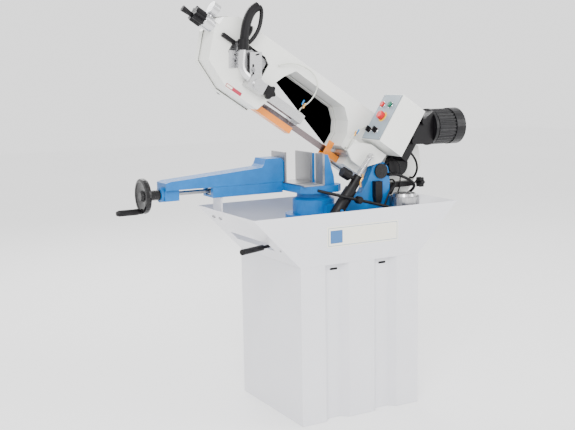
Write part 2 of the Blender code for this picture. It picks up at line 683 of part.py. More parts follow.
def make_slide():
    front, back = VICE_Y - VICE_WIDTH / 2, VICE_Y + VICE_WIDTH / 2
    under = TABLE_TOP + RUNNING
    jaw_back = MOVING_JAW_X - MOVING_JAW_THICKNESS - TOUCH
    body = prism("vice_slide", [
        (SLIDE_LEFT, under), (jaw_back, under), (jaw_back, 1.058), (jaw_back - 0.012, 1.070),
        (jaw_back - 0.085, 1.070), (jaw_back - 0.095, 1.045), (jaw_back - 0.105, 1.034),
        (SLIDE_LEFT + 0.02, 1.002), (SLIDE_LEFT, 0.996),
    ], front, back, "blue_paint")
    hanger = box("slide_hanger", (SLIDE_LEFT + 0.001, VICE_Y - 0.034, SCREW_Z - 0.026),
                 (SLIDE_LEFT + COLLAR_LENGTH + 0.02, VICE_Y + 0.034, under + 0.01))
    collar = rod("slide_collar", (SLIDE_LEFT - 0.012, VICE_Y, SCREW_Z),
                 (SLIDE_LEFT + COLLAR_LENGTH, VICE_Y, SCREW_Z), COLLAR_RADIUS)
    bore = rod("collar_bore", (SLIDE_LEFT - 0.05, VICE_Y, SCREW_Z),
               (SLIDE_LEFT + 0.09, VICE_Y, SCREW_Z), SCREW_RADIUS + RUNNING)
    join(body, hanger, collar)
    cut(body, bore)
    half = MOVING_JAW_WIDTH / 2
    box("moving_jaw", (MOVING_JAW_X - MOVING_JAW_THICKNESS, VICE_Y - half, under),
        (MOVING_JAW_X, VICE_Y + half, 1.094), "ground_steel")


def make_hand_wheel():
    """The clamping wheel with its hub, the screw through it and the crank grip."""
    axis = empty("vice_wheel_axis", (HAND_WHEEL_X, VICE_Y, SCREW_Z))
    reach = SLIDE_LEFT - 0.012 - RUNNING - HAND_WHEEL_X
    screw_end = SCREW_END_X - HAND_WHEEL_X
    rod("vice_screw", (0.012, 0, 0), (screw_end, 0, 0), SCREW_RADIUS, "ground_steel", axis)
    wheel = turned("vice_hand_wheel", [
        (0.0, reach), (0.021, reach), (0.021, 0.030), (0.014, 0.028), (0.014, 0.008),
        (0.020, 0.004), (HAND_WHEEL_RADIUS - 0.014, 0.000), (HAND_WHEEL_RADIUS - 0.012, 0.010),
        (HAND_WHEEL_RADIUS - 0.003, 0.013), (HAND_WHEEL_RADIUS, 0.004),
        (HAND_WHEEL_RADIUS - 0.002, -0.008), (HAND_WHEEL_RADIUS - 0.012, -0.010),
        (HAND_WHEEL_RADIUS - 0.018, -0.006), (0.024, -0.002), (0.018, -0.012), (0.0, -0.012),
    ], "black_plastic", axis, axis="X")
    bore = rod("wheel_bore", (0.010, 0, 0), (reach + 0.01, 0, 0), SCREW_RADIUS + TOUCH,
               parent=axis)
    pin = rod("grip_pin", (-0.002, 0, -GRIP_OFFSET), (-0.012, 0, -GRIP_OFFSET), 0.011, parent=axis)
    cut(join(wheel, pin), bore)
    grip = empty("vice_grip_axis", (-0.012, 0, -GRIP_OFFSET), parent=axis)
    start = -TOUCH - 0.001
    turned("vice_grip", [
        (0.0, start), (0.010, start), (GRIP_RADIUS, start - 0.012),
        (GRIP_RADIUS, start - GRIP_LENGTH + 0.012), (0.009, start - GRIP_LENGTH),
        (0.0, start - GRIP_LENGTH)], "black_plastic", grip, axis="X", sides=SMALL_ROUND)


# ---- swivel arm, its lock lever, stops and feed cylinder --------------------------------


def make_swivel_arm():
    ring_low, ring_high = ARM_BOTTOM, ARM_DECK
    arm = rod("swivel_arm", (SWIVEL_X, 0, ring_low), (SWIVEL_X, 0, ring_high), ARM_RING_RADIUS,
              "blue_paint", sides=40)
    upright = prism("arm_upright", ARM_RISE, ARM_FRONT, ARM_BACK)
    reach = box("arm_reach", (0.030, ARM_FRONT + 0.001, ring_low + 0.002),
                (ARM_RIGHT - 0.002, -0.045, ring_high - 0.004))
    rib = prism("arm_rib", [(0.045, ring_high - 0.01), (0.20, ring_high - 0.01), (0.17, 0.900),
                            (0.110, 0.880)], ARM_BACK - 0.002, ARM_BACK + 0.028)
    lug = box("feed_lug", (FEED_FOOT.x - 0.030, ARM_FRONT + 0.0015, ring_low + 0.004),
              (0.100, ARM_FRONT + 0.026, FEED_FOOT.z + 0.020))
    clamp_seat = box("clamp_seat", (CLAMP_X - 0.016, ARM_FRONT + 0.0005, ring_high - 0.02),
                     (0.120, ARM_FRONT + 0.024, CLAMP_Z + 0.018))
    pin = rod("feed_foot_pin", (FEED_FOOT.x, ARM_FRONT + 0.010, FEED_FOOT.z),
              (FEED_FOOT.x, FEED_Y - FEED_RADIUS - 0.006, FEED_FOOT.z), FEED_PIN)
    around = rod("pedestal_space", (SWIVEL_X, 0, ring_low - 0.01), (SWIVEL_X, 0, 0.95),
                 PEDESTAL_RADIUS + RUNNING, sides=40)
    bore = rod("pivot_bore", (PIVOT_X, ARM_FRONT - 0.02, PIVOT_Z), (PIVOT_X, 0, PIVOT_Z),
               PIVOT_RADIUS + TOUCH)
    join(arm, upright, reach, rib, lug, clamp_seat)
    cut(arm, around, bore)
    join(arm, pin)
    shaft = rod("pivot_shaft", (PIVOT_X, ARM_FRONT - 0.001, PIVOT_Z),
                (PIVOT_X, BOW_FRONT + 0.0035, PIVOT_Z), PIVOT_RADIUS, "black_plastic")
    cap = rod("pivot_cap", (PIVOT_X, ARM_FRONT - 0.009, PIVOT_Z),
              (PIVOT_X, ARM_FRONT - TOUCH, PIVOT_Z), PIVOT_CAP_RADIUS)
    join(shaft, cap)


def make_limit_switch():
    face = ARM_FRONT - TOUCH
    body = prism("limit_switch", [
        (0.160, 0.876), (0.172, 0.866), (0.184, 0.876), (0.190, 0.900), (0.190, 0.966),
        (0.154, 0.966), (0.154, 0.900)], face - 0.026, face, "black_plastic")
    return body


def make_stop():
    """Bracket on the arm with the lobed screw that sets the bow's raised stop."""
    left = ARM_RIGHT + TOUCH
    bracket = prism("stop_bracket", [
        (left, 0.900), (left + 0.012, 0.900), (left + 0.030, 0.930), (STOP_X, 0.930),
        (STOP_X, STOP_Z + 0.010), (left, STOP_Z + 0.010)], ARM_FRONT + 0.002, ARM_BACK - 0.002,
        "black_plastic")
    cut(bracket, rod("stop_bore", (STOP_X - 0.03, STOP_Y, STOP_Z), (STOP_X + 0.02, STOP_Y, STOP_Z),
                     0.004 + RUNNING, sides=SMALL_ROUND))
    axis = empty("stop_knob_axis", (STOP_X, STOP_Y, STOP_Z))
    knob = lobed_knob("stop_knob", 0.0245, 0.037, 0.058, axis)
    join(knob, rod("stop_stem", (-0.020, 0, 0), (0.040, 0, 0), 0.004, parent=axis,
                   sides=SMALL_ROUND))


def lobed_knob(name, radius, low, high, parent, axis="X", finish="black_plastic", lobes=6):
    """A star knob: a round outline whose radius waves once per lobe."""
    count = lobes * 6
    outline = []
    for k in range(count):
        angle = 2 * math.pi * k / count
        reach = radius * (0.86 + 0.14 * math.cos(lobes * angle))
        outline.append((reach * math.cos(angle), reach * math.sin(angle)))
    return prism(name, outline, low, high, finish, parent, axis)


def make_clamp_bar():
    """Tee handle on the swivel arm: a sliding bar through a hub on a screw along Y."""
    axis = empty("clamp_axis", (CLAMP_X, 0, CLAMP_Z), Matrix.Rotation(CLAMP_TILT, 4, "Y"))
    hub = turned("clamp_bar", [
        (0.0, CLAMP_Y - 0.016), (0.013, CLAMP_Y - 0.016), (0.016, CLAMP_Y - 0.010),
        (0.016, CLAMP_Y + 0.012), (0.010, CLAMP_Y + 0.016), (0.0065, CLAMP_Y + 0.018),
        (0.0065, ARM_FRONT - RUNNING), (0.0, ARM_FRONT - RUNNING)][::-1],
        "black_plastic", axis, axis="Y", sides=SMALL_ROUND)
    bar = rod("clamp_rod", (-CLAMP_BAR_LEFT, CLAMP_Y, 0), (CLAMP_BAR_RIGHT, CLAMP_Y, 0), 0.0065,
              parent=axis, sides=16)
    join(hub, bar)


def make_lock_lever():
    """Ring on the pedestal foot with the lever through the tray's slot."""
    axis = empty("lock_axis", (SWIVEL_X, 0, LEVER_Z), Matrix.Rotation(LEVER_ANGLE, 4, "Z"))
    inner = PEDESTAL_RADIUS + RUNNING
    half = 0.012
    ring = turned("lock_lever", [
        (inner, half), (inner + 0.022, half), (inner + 0.022, -half), (inner, -half),
        (inner, half)], "black_plastic", axis, sides=40)
    bar = rod("lever_bar", (inner + 0.010, 0, 0), (LEVER_LENGTH - 0.01, 0, 0), LEVER_RADIUS,
              parent=axis, sides=SMALL_ROUND)
    grip = rod("lever_grip", (LEVER_LENGTH - LEVER_GRIP, 0, 0), (LEVER_LENGTH, 0, 0), 0.012,
               parent=axis, sides=SMALL_ROUND)
    join(ring, bar, grip)


def along_feed(distance):
    return FEED_FOOT + (FEED_HEAD - FEED_FOOT).normalized() * distance


def make_feed_cylinder():
    """Oil-damped feed cylinder between the arm and the bow: body, rod and control knob."""
    length = (FEED_HEAD - FEED_FOOT).length
    body = rod("feed_cylinder", along_feed(-0.024), along_feed(0.105), FEED_RADIUS,
               "black_plastic")
    neck = rod("feed_neck", along_feed(0.100), along_feed(0.168), FEED_NECK)
    bore = rod("feed_bore", along_feed(0.030), along_feed(0.20), FEED_ROD + RUNNING,
               sides=SMALL_ROUND)
    hole = rod("feed_foot_hole", (FEED_FOOT.x, FEED_Y - 0.05, FEED_FOOT.z),
               (FEED_FOOT.x, FEED_Y + 0.05, FEED_FOOT.z), FEED_PIN + RUNNING, sides=SMALL_ROUND)
    port = along_feed(0.150)
    boss = rod("knob_boss", port, port + Vector((-0.034, 0, 0.020)), 0.009, sides=SMALL_ROUND)
    join(body, neck, boss)
    cut(body, bore, hole)
    stem = rod("feed_rod", along_feed(0.096), along_feed(length - 0.006), FEED_ROD,
               "ground_steel", sides=SMALL_ROUND)
    eye = rod("rod_eye", FEED_HEAD + Vector((0, -0.008, 0)), FEED_HEAD + Vector((0, 0.008, 0)),
              HEAD_EYE, sides=SMALL_ROUND)
    hole = rod("eye_hole", FEED_HEAD + Vector((0, -0.03, 0)), FEED_HEAD + Vector((0, 0.03, 0)),
               HEAD_PIN + HEAD_PLAY, sides=SMALL_ROUND)
    cut(join(stem, eye), hole)
    base = port + Vector((-0.0343, 0, 0.0202))
    turn = Vector((-0.034, 0, 0.020)).to_track_quat("X", "Z").to_matrix().to_4x4()
    axis = empty("feed_knob_axis", base, turn)
    prism("feed_knob", ribbed_outline(0.0222, 14), TOUCH, 0.042, "black_plastic", axis, "X")


def ribbed_outline(radius, ribs):
    """A round outline with square-edged grip ribs."""
    points = []
    for k in range(ribs):
        for share, reach in ((0.0, 1.0), (0.5, 1.0), (0.55, 0.93), (0.95, 0.93)):
            angle = 2 * math.pi * (k + share) / ribs
            points.append((radius * reach * math.cos(angle), radius * reach * math.sin(angle)))
    return points


# ---- bow frame and cover ----------------------------------------------------------------


def make_bow_frame():
    frame = prism("bow_frame", BOW_OUTLINE, BOW_FRONT, BOW_BACK, "bow_paint", BOW)
    hollow = prism("bow_hollow", grown(BOW_OUTLINE, -BOW_WALL), BOW_FRONT + BOW_PLATE,
                   BOW_BACK + 0.02, parent=BOW)
    boss_end = IDLER_U - 0.128
    boss = rod("tension_boss", (boss_end, TENSION_Y, TENSION_W), (boss_end + 0.014, TENSION_Y, TENSION_W),
               BOSS_RADIUS, parent=BOW)
    cut(frame, hollow)
    join(frame, boss)
    window = prism("carriage_window", WINDOW, BOW_FRONT - 0.01, BOW_FRONT + BOW_PLATE + 0.003,
                   parent=BOW)
    mouth = box("guard_mouth", (THROAT_LEFT - 0.030, -0.028, -0.0725),
                (THROAT_LEFT + 0.030, 0.028, -0.0125), parent=BOW)
    bar = box("guide_bar_slot", (THROAT_LEFT - 0.030, GUIDE_BAR_Y[0] - RUNNING, GUIDE_BAR_W[0] - RUNNING),
              (THROAT_LEFT + 0.030, GUIDE_BAR_Y[1] + RUNNING, GUIDE_BAR_W[1] + RUNNING), parent=BOW)
    entry = box("blade_entry", (THROAT_RIGHT + 0.045, -0.012, -0.051),
                (THROAT_RIGHT + 0.062, 0.012, -0.015), parent=BOW)
    pivot = rod("bow_pivot_hole", (0, BOW_FRONT - 0.01, 0), (0, BOW_FRONT + 0.02, 0),
                PIVOT_RADIUS + RUNNING, parent=BOW)
    shaft = rod("shaft_hole", (DRIVE_U, BOW_FRONT - 0.01, WHEEL_W), (DRIVE_U, BOW_FRONT + 0.02, WHEEL_W),
                SHAFT_RADIUS + 0.003, parent=BOW)
    knob = rod("guide_knob_hole", (GUIDE_KNOB_U, BOW_FRONT - 0.01, GUIDE_KNOB_W),
               (GUIDE_KNOB_U, BOW_FRONT + 0.02, GUIDE_KNOB_W), 0.005 + RUNNING, parent=BOW,
               sides=SMALL_ROUND)
    screw = rod("tension_hole", (boss_end - 0.01, TENSION_Y, TENSION_W),
                (boss_end + 0.03, TENSION_Y, TENSION_W), TENSION_SCREW + RUNNING, parent=BOW,
                sides=SMALL_ROUND)
    cut(frame, window, mouth, bar, entry, pivot, shaft, knob, screw)


def make_rear_cover():
    cover = dish("rear_cover", grown(BOW_OUTLINE, COVER_CLEARANCE + COVER_SHEET), COVER_SHEET,
                 BOW_BACK - COVER_OVERLAP, COVER_BACK, "bow_paint", BOW)
    lift = COVER_CLEARANCE + COVER_SHEET + 0.001
    ends = [(u, BOW_BACK - COVER_OVERLAP, w + lift) for u, w in HINGE_ENDS]
    knuckle = rod("cover_knuckle", *ends, COVER_HINGE, parent=BOW, sides=12)
    stem = rod("cover_stem", (COVER_KNOB_U, COVER_BACK - 0.001, COVER_KNOB_W + 0.006),
               (COVER_KNOB_U, COVER_BACK + 0.014, COVER_KNOB_W + 0.006), 0.005, parent=BOW,
               sides=12)
    knob = ball("cover_ball", (COVER_KNOB_U, COVER_BACK + 0.022, COVER_KNOB_W + 0.006), 0.015,
                parent=BOW)
    join(cover, knuckle, stem, knob)


# ---- bow: pivot bracket, drive and control box ------------------------------------------


def bow_point(u, y, w):
    return BOW.matrix_basis @ Vector((u, y, w))


def feed_head_local():
    return BOW.matrix_basis.inverted() @ FEED_HEAD


def make_bracket():
    head = feed_head_local()
    plate = prism("bracket_plate", BRACKET, BRACKET_FRONT, BRACKET_BACK, "bow_paint", BOW)
    spacer = box("bracket_spacer", (-0.190, BRACKET_BACK - 0.002, 0.006),
                 (-0.112, BOW_FRONT - TOUCH, 0.046), parent=BOW)
    pin = rod("feed_head_pin", (head.x, BRACKET_FRONT + 0.004, head.z),
              (head.x, FEED_Y - 0.014, head.z), HEAD_PIN, parent=BOW, sides=SMALL_ROUND)
    join(plate, spacer, pin)


def make_control_box():
    back = BOW_FRONT - TOUCH
    low = (BOX_LEFT, BOX_FRONT, BOX_LOW)
    high = (BOX_RIGHT, back, BOX_HIGH)
    case = box("control_box", low, high, "bow_paint", BOW)
    hollow = box("control_hollow", (BOX_LEFT - 0.01, BOX_FRONT + BOX_SHEET, BOX_LOW + BOX_SHEET),
                 (BOX_RIGHT - BOX_SHEET, back - BOX_SHEET, BOX_HIGH - BOX_SHEET), parent=BOW)
    cut(case, hollow)
    face = BOX_LEFT - TOUCH
    panel = box("control_panel", (face - PANEL, BOX_FRONT + 0.004, BOX_LOW + 0.004),
                (face, back - 0.004, BOX_HIGH - 0.004), "panel_grey", BOW)
    front = face - PANEL
    for name, y, w, radius, finish in CONTROLS:
        axis = empty(name + "_axis", (front, y, w), parent=BOW)
        hole = rod(name + "_hole", (-0.01, 0, 0), (0.02, 0, 0), STEM + RUNNING, parent=axis,
                   sides=16)
        cut(panel, hole)
        if name.startswith("selector"):
            make_selector(name, radius, finish, axis)
        else:
            make_button(name, radius, finish, axis)


def make_button(name, radius, finish, axis):
    front = -BUTTON_TRAVEL - RUNNING
    tall = 0.020 if radius > 0.015 else 0.008
    turned(name, [(0.0, tall - front), (radius - 0.003, tall - front), (radius, tall - front - 0.003),
                  (radius, -front), (STEM, -front), (STEM, -0.014), (0.0, -0.014)],
           finish, axis, axis="-X", sides=24)


def make_selector(name, radius, finish, axis):
    base = turned(name, [(0.0, 0.010), (radius - 0.002, 0.010), (radius, 0.008),
                         (radius, RUNNING), (STEM, RUNNING), (STEM, -0.014), (0.0, -0.014)],
                  finish, axis, axis="-X", sides=24)
    wing = box(name + "_wing", (-0.021, -0.0035, -radius + 0.001),
               (-0.008, 0.0035, radius - 0.001), parent=axis)
    join(base, wing)


def motor_point(distance, drop=0.0):
    """A point on the motor's level axis, in the bow's axes."""
    along = Vector((math.cos(BOW_TILT), 0.0, math.sin(BOW_TILT)))
    down = Vector((math.sin(BOW_TILT), 0.0, -math.cos(BOW_TILT)))
    return MOTOR_START + along * distance + down * drop


def make_drive():
    """Worm gearbox, motor and its fan cowl."""
    back = BOW_FRONT - TOUCH
    left = BOX_RIGHT + 0.0045
    gearbox = prism("gearbox", disc_outline((DRIVE_U, WHEEL_W), 0.050, 28), -0.112, back,
                    "black_plastic", BOW)
    body = box("gearbox_body", (left, GEARBOX_FRONT, WHEEL_W + 0.010),
               (0.055, back - 0.002, 0.285), parent=BOW)
    top, bottom = motor_point(-WEDGE_LENGTH, -0.070), motor_point(-WEDGE_LENGTH, 0.070)
    wedge = prism("gearbox_wedge", [(0.040, 0.160), (bottom.x, bottom.z), (top.x, top.z),
                                    (0.040, 0.300)],
                  MOTOR_START.y - 0.054, MOTOR_START.y + 0.054, parent=BOW)
    lugs = [rod(f"gearbox_lug_{k}", (0.030, GEARBOX_FRONT - 0.018, w), (0.030, GEARBOX_FRONT + 0.006, w),
                0.014, parent=BOW, sides=SMALL_ROUND) for k, w in enumerate((0.172, 0.268))]
    bore = rod("gearbox_bore", (DRIVE_U, -0.105, WHEEL_W), (DRIVE_U, 0, WHEEL_W),
               SHAFT_RADIUS + RUNNING, parent=BOW)
    join(gearbox, body, wedge, *lugs)
    cut(gearbox, bore)
    motor = rod("motor", motor_point(TOUCH), motor_point(MOTOR_LENGTH), MOTOR_RADIUS - 0.008,
                "black_plastic", BOW)
    terminal = rod("motor_flange", motor_point(TOUCH), motor_point(0.014), MOTOR_RADIUS,
                   parent=BOW)
    join(motor, terminal)
    cowl = rod("fan_cowl", motor_point(MOTOR_LENGTH - 0.012), motor_point(MOTOR_LENGTH + COWL_LENGTH),
               MOTOR_RADIUS, "black_plastic", BOW)
    room = rod("cowl_room", motor_point(MOTOR_LENGTH - 0.03), motor_point(MOTOR_LENGTH + COWL_LENGTH - 0.004),
               MOTOR_RADIUS - 0.003, parent=BOW)
    air = rod("cowl_air", motor_point(MOTOR_LENGTH), motor_point(MOTOR_LENGTH + COWL_LENGTH + 0.01),
              0.008, parent=BOW, sides=12)
    ring = rod("cowl_ring", motor_point(MOTOR_LENGTH + TOUCH), motor_point(MOTOR_LENGTH + 0.004),
               MOTOR_RADIUS - 0.001, parent=BOW)
    centre = rod("cowl_centre", motor_point(MOTOR_LENGTH - 0.01), motor_point(MOTOR_LENGTH + 0.02),
                 0.050, parent=BOW)
    cut(cowl, room, air)
    join(cowl, cut(ring, centre))


# ---- bow: band wheels, blade and tension ------------------------------------------------


def band_wheel(name, place, bore, hub_reach):
    """A band wheel turning about Y: rim, web and hub."""
    half = BAND_WHEEL_WIDTH / 2
    radius = BAND_WHEEL_RADIUS
    start = bore if bore else 0.0
    profile = [(start, hub_reach), (0.026, hub_reach), (0.028, 0.005), (radius - 0.014, 0.005),
               (radius - 0.012, half), (radius, half), (radius, -half), (radius - 0.012, -half),
               (radius - 0.014, -0.005), (0.028, -0.005), (0.026, -hub_reach),
               (start, -hub_reach)]
    if bore:
        profile.append(profile[0])
    axis = empty(name + "_axis", place, parent=BOW)
    return turned(name, profile, "ground_steel", axis, axis="Y", sides=WHEEL_SIDES), axis


def make_band_wheels():
    wheel, axis = band_wheel("drive_wheel", (DRIVE_U, 0, WHEEL_W), 0.0, 0.020)
    join(wheel, rod("drive_shaft", (0, 0.010, 0), (0, -0.100, 0), SHAFT_RADIUS, parent=axis))
    band_wheel("idler_wheel", (IDLER_U, 0, WHEEL_W), AXLE + RUNNING, 0.020)
    carriage = box("idler_carriage", (IDLER_U - 0.047, CARRIAGE_Y[0], 0.030),
                   (IDLER_U + 0.140, CARRIAGE_Y[1], 0.112), "ground_steel", BOW)
    axle = rod("idler_axle", (IDLER_U, CARRIAGE_Y[1] - 0.004, WHEEL_W), (IDLER_U, 0.022, WHEEL_W),
               AXLE, parent=BOW)
    bore = rod("carriage_bore", (IDLER_U - 0.06, TENSION_Y, TENSION_W),
               (IDLER_U + 0.045, TENSION_Y, TENSION_W), TENSION_SCREW + RUNNING, parent=BOW,
               sides=SMALL_ROUND)
    join(carriage, axle)
    cut(carriage, bore)


def blade_frame(distance):
    """Centre, half width direction and outward normal of the band at a distance along it."""
    radius = BAND_RADIUS
    across = Vector((0.0, 1.0, 0.0))
    if distance < WHEEL_SPACING:
        u = IDLER_U + distance
        twist = min(distance / TWIST_LEFT, 1.0, (WHEEL_SPACING - distance) / TWIST_RIGHT)
        angle = math.pi / 2 * (3 * twist ** 2 - 2 * twist ** 3)
        w = WHEEL_W - radius
        return (Vector((u, 0, w)), Vector((0, math.cos(angle), math.sin(angle))),
                Vector((0, math.sin(angle), -math.cos(angle))))
    distance -= WHEEL_SPACING
    if distance < math.pi * radius:
        angle = -math.pi / 2 + distance / radius
        out = Vector((math.cos(angle), 0, math.sin(angle)))
        return Vector((DRIVE_U, 0, WHEEL_W)) + out * radius, across, out
    distance -= math.pi * radius
    if distance < WHEEL_SPACING:
        return (Vector((DRIVE_U - distance, 0, WHEEL_W + radius)), across, Vector((0, 0, 1)))
    distance -= WHEEL_SPACING
    angle = math.pi / 2 + distance / radius
    out = Vector((math.cos(angle), 0, math.sin(angle)))
    return Vector((IDLER_U, 0, WHEEL_W)) + out * radius, across, out


def make_blade():
    """The endless band, lofted round both wheels and turned upright through the guides."""
    half_turn = math.pi * BAND_RADIUS
    spans = [(WHEEL_SPACING, BLADE_STEPS), (half_turn, WHEEL_SIDES // 2), (WHEEL_SPACING, BACK_STEPS),
             (half_turn, WHEEL_SIDES // 2)]
    stations = []
    start = 0.0
    for span, steps in spans:
        stations += [start + span * k / steps for k in range(steps)]
        start += span
    shape = bmesh.new()
    rings = []
    for index, station in enumerate(stations):
        centre, across, out = blade_frame(station)
        if station > WHEEL_SPACING:
            centre = centre + across * (BLADE_WANDER if index % 2 else -BLADE_WANDER)
        corners = [centre + across * (BLADE_WIDTH / 2 * a) + out * (BLADE_THICKNESS / 2 * b)
                   for a, b in ((-1, -1), (-1, 1), (1, 1), (1, -1))]
        rings.append([shape.verts.new(corner) for corner in corners])
    for ring, following in zip(rings, rings[1:] + rings[:1]):
        for k in range(4):
            shape.faces.new((ring[k], ring[(k + 1) % 4], following[(k + 1) % 4], following[k]))
    bmesh.ops.triangulate(shape, faces=shape.faces[:])
    bmesh.ops.recalc_face_normals(shape, faces=shape.faces)
    mesh = bpy.data.meshes.new("blade")
    shape.to_mesh(mesh)
    shape.free()
    place_mesh("blade", mesh, "blade_steel", BOW)


def make_tension():
    """Hand wheel and screw that pull the idler carriage, with the gauge on its collar."""
    base = IDLER_U - 0.128 - TOUCH
    axis = empty("tension_axis", (base, TENSION_Y, TENSION_W), parent=BOW)
    wheel = lobed_knob("tension_wheel", 0.033, -0.096, -0.050, axis, lobes=8)
    screw = rod("tension_screw", (-0.060, 0, 0), (0.150, 0, 0), TENSION_SCREW, parent=axis,
                sides=SMALL_ROUND)
    grip = rod("tension_grip", (-0.090, 0, -0.010), (-0.142, 0, -0.010), 0.008, parent=axis,
               sides=SMALL_ROUND, end_radius=0.0125)
    join(wheel, screw, grip)
    collar = turned("tension_gauge", [
        (TENSION_SCREW + RUNNING, 0.048), (0.026, 0.048), (0.029, 0.044), (0.029, 0.012),
        (BOSS_RADIUS, 0.010), (BOSS_RADIUS, 0.0), (TENSION_SCREW + RUNNING, 0.0),
        (TENSION_SCREW + RUNNING, 0.048)], "ground_steel", axis, axis="-X")
    stem = rod("gauge_stem", (-0.028, 0, 0.024), (-0.028, 0, 0.040), 0.006, parent=axis,
               sides=SMALL_ROUND)
    dial = rod("gauge_dial", (-0.014, 0, 0.060), (-0.046, 0, 0.060), 0.027, parent=axis)
    join(collar, stem, dial)


# ---- bow: guides and guards -------------------------------------------------------------


def blade_slot(name, ends):
    return box(name, (ends[0] - 0.01, -BLADE_SLOT, -0.06),
               (ends[1] + 0.01, BLADE_SLOT, BLADE_W + BLADE_WIDTH / 2 + RUNNING), parent=BOW)


def channel_guard(name, start, end, low, front_high, back_high, half, finish):
    """A sheet channel under the blade with walls of unequal height."""
    sheet = 0.002
    outline = [(-half, low), (half, low), (half, back_high), (half - sheet, back_high),
               (half - sheet, low + sheet), (-half + sheet, low + sheet),
               (-half + sheet, front_high), (-half, front_high)]
    return prism(name, outline, start, end, finish, BOW, "X")


def make_guides():
    box("guide_bar", (THROAT_LEFT - 0.150, GUIDE_BAR_Y[0], GUIDE_BAR_W[0]),
        (LEFT_BLOCK[1], GUIDE_BAR_Y[1], GUIDE_BAR_W[1]), "ground_steel", BOW)
    left = box("guide_block_left", (LEFT_BLOCK[0], GUIDE_BAR_Y[1] + TOUCH, -0.0285),
               (LEFT_BLOCK[1], 0.022, 0.0300), "ground_steel", BOW)
    cut(left, blade_slot("left_slot", LEFT_BLOCK))
    right = box("guide_block_right", (RIGHT_BLOCK[0], -0.0165, -0.0285),
                (RIGHT_BLOCK[1], 0.0165, RIGHT_BLOCK_TOP), "ground_steel", BOW)
    post = box("right_post", (RIGHT_BLOCK[0] + 0.011, BRACKET_BACK + TOUCH, -0.0275),
               (RIGHT_BLOCK[1] - 0.004, -0.015, RIGHT_BLOCK_TOP - 0.001), parent=BOW)
    cut(join(right, post), blade_slot("right_slot", RIGHT_BLOCK))
    channel_guard("guard_left", THROAT_LEFT - 0.012, LEFT_BLOCK[0] + 0.030, -0.071, -0.044,
                  -0.0300, 0.0190, "orange_paint")
    guard = channel_guard("guard_right", RIGHT_BLOCK[0] - 0.030, THROAT_RIGHT + 0.051, -0.058,
                          -0.0300, -0.0140, 0.0192, "orange_paint")
    tab = box("guard_tab", (RIGHT_BLOCK[0] - 0.030, -0.0192, -0.040),
              (RIGHT_BLOCK[0] - 0.001, -0.0172, 0.008), parent=BOW)
    join(guard, tab)
    axis = empty("guide_knob_axis", (GUIDE_KNOB_U, BOW_FRONT, GUIDE_KNOB_W), parent=BOW)
    knob = lobed_knob("guide_knob", 0.030, -0.028, -0.009, axis, axis="Y", lobes=5)
    stem_end = GUIDE_BAR_Y[0] - TOUCH - BOW_FRONT
    join(knob, rod("guide_knob_stem", (0, -0.012, 0), (0, stem_end, 0), 0.005, parent=axis,
                   sides=SMALL_ROUND))


# ---- bow: pull handle -------------------------------------------------------------------


def at_handle(route, count=None):
    points = [(u, HANDLE_Y, w) for u, w in route]
    return smooth_route(points, count) if count else [Vector(p) for p in points]


def make_pull_handle():
    handle = box("pull_handle", (-0.741, HANDLE_Y - 0.018, -0.032),
                 (-0.664, BOW_FRONT - TOUCH, 0.016), "ground_steel", BOW)
    bar = tube("handle_tube", at_handle(HANDLE_ROUTE, 14), HANDLE_TUBE, None, BOW, fineness=3)
    cap = rod("clamp_cap", (-0.700, HANDLE_Y - 0.026, -0.006), (-0.700, HANDLE_Y - 0.016, -0.006),
              0.023, parent=BOW)
    join(handle, bar, cap)
    grip = tube("handle_grip", at_handle(GRIP_ROUTE, 14), 0.0185, "black_plastic", BOW, fineness=3)
    guard = tube("grip_guard", at_handle(GUARD_ROUTE, 14), 0.0085, None, BOW)
    socket = rod("grip_socket", (-0.8415, HANDLE_Y, 0.113), (-0.820, HANDLE_Y, 0.078),
                 0.022, parent=BOW)
    inner = tube("grip_bore", at_handle([(-0.8000, 0.028), (-0.806, 0.040), (-0.8338, 0.0956)]),
                 HANDLE_TUBE + TOUCH, None, BOW, fineness=3)
    slot = box("trigger_slot", (-0.862, HANDLE_Y - 0.0055 - RUNNING, 0.126),
               (-0.8165, HANDLE_Y + 0.0055 + RUNNING, 0.182), parent=BOW)
    join(grip, guard, socket)
    cut(grip, inner, slot)
    trigger = prism("trigger", [(-0.8340, 0.134), (-0.8260, 0.136), (-0.8270, 0.160),
                                (-0.8350, 0.176), (-0.8400, 0.174), (-0.8360, 0.158)],
                    HANDLE_Y - 0.0055, HANDLE_Y + 0.0055, "black_plastic", BOW)
    stem = box("trigger_stem", (-0.846, HANDLE_Y - 0.0027, 0.149), (-0.829, HANDLE_Y + 0.0027, 0.161),
               parent=BOW)
    join(trigger, stem)


# ---- cables and hoses -------------------------------------------------------------------
# Each route is a list of points in the axes of the piece that carries it.


def make_hoses():
    tube("motor_cable", smooth_route(MOTOR_CABLE, 26), 0.005, "black_plastic", BOW)
    tube("pump_conduit", smooth_route(PUMP_CONDUIT, 34), 0.0065, "black_plastic")
    tube("switch_cable", smooth_route(SWITCH_CABLE, 40), 0.0028, "black_plastic")
    tube("coolant_hose", smooth_route(COOLANT_HOSE, 30), 0.004, "black_plastic")
    tube("coolant_tube_left", smooth_route(LEFT_TUBE, 40), 0.0026, "clear_tube", BOW)
    tube("coolant_tube_right", smooth_route(RIGHT_TUBE, 24), 0.0026, "clear_tube", BOW)


def main():
    make_cabinet()
    make_tray()
    make_pedestal()
    make_table()
    make_pump()
    make_bed()
    make_slide()
    make_hand_wheel()
    make_swivel_arm()
    make_limit_switch()
    make_stop()
    make_clamp_bar()
    make_lock_lever()
    make_feed_cylinder()
    make_bow_frame()
    make_rear_cover()
    make_bracket()
    make_control_box()
    make_drive()
    make_band_wheels()
    make_blade()
    make_tension()
    make_guides()
    make_pull_handle()
    make_hoses()


main()
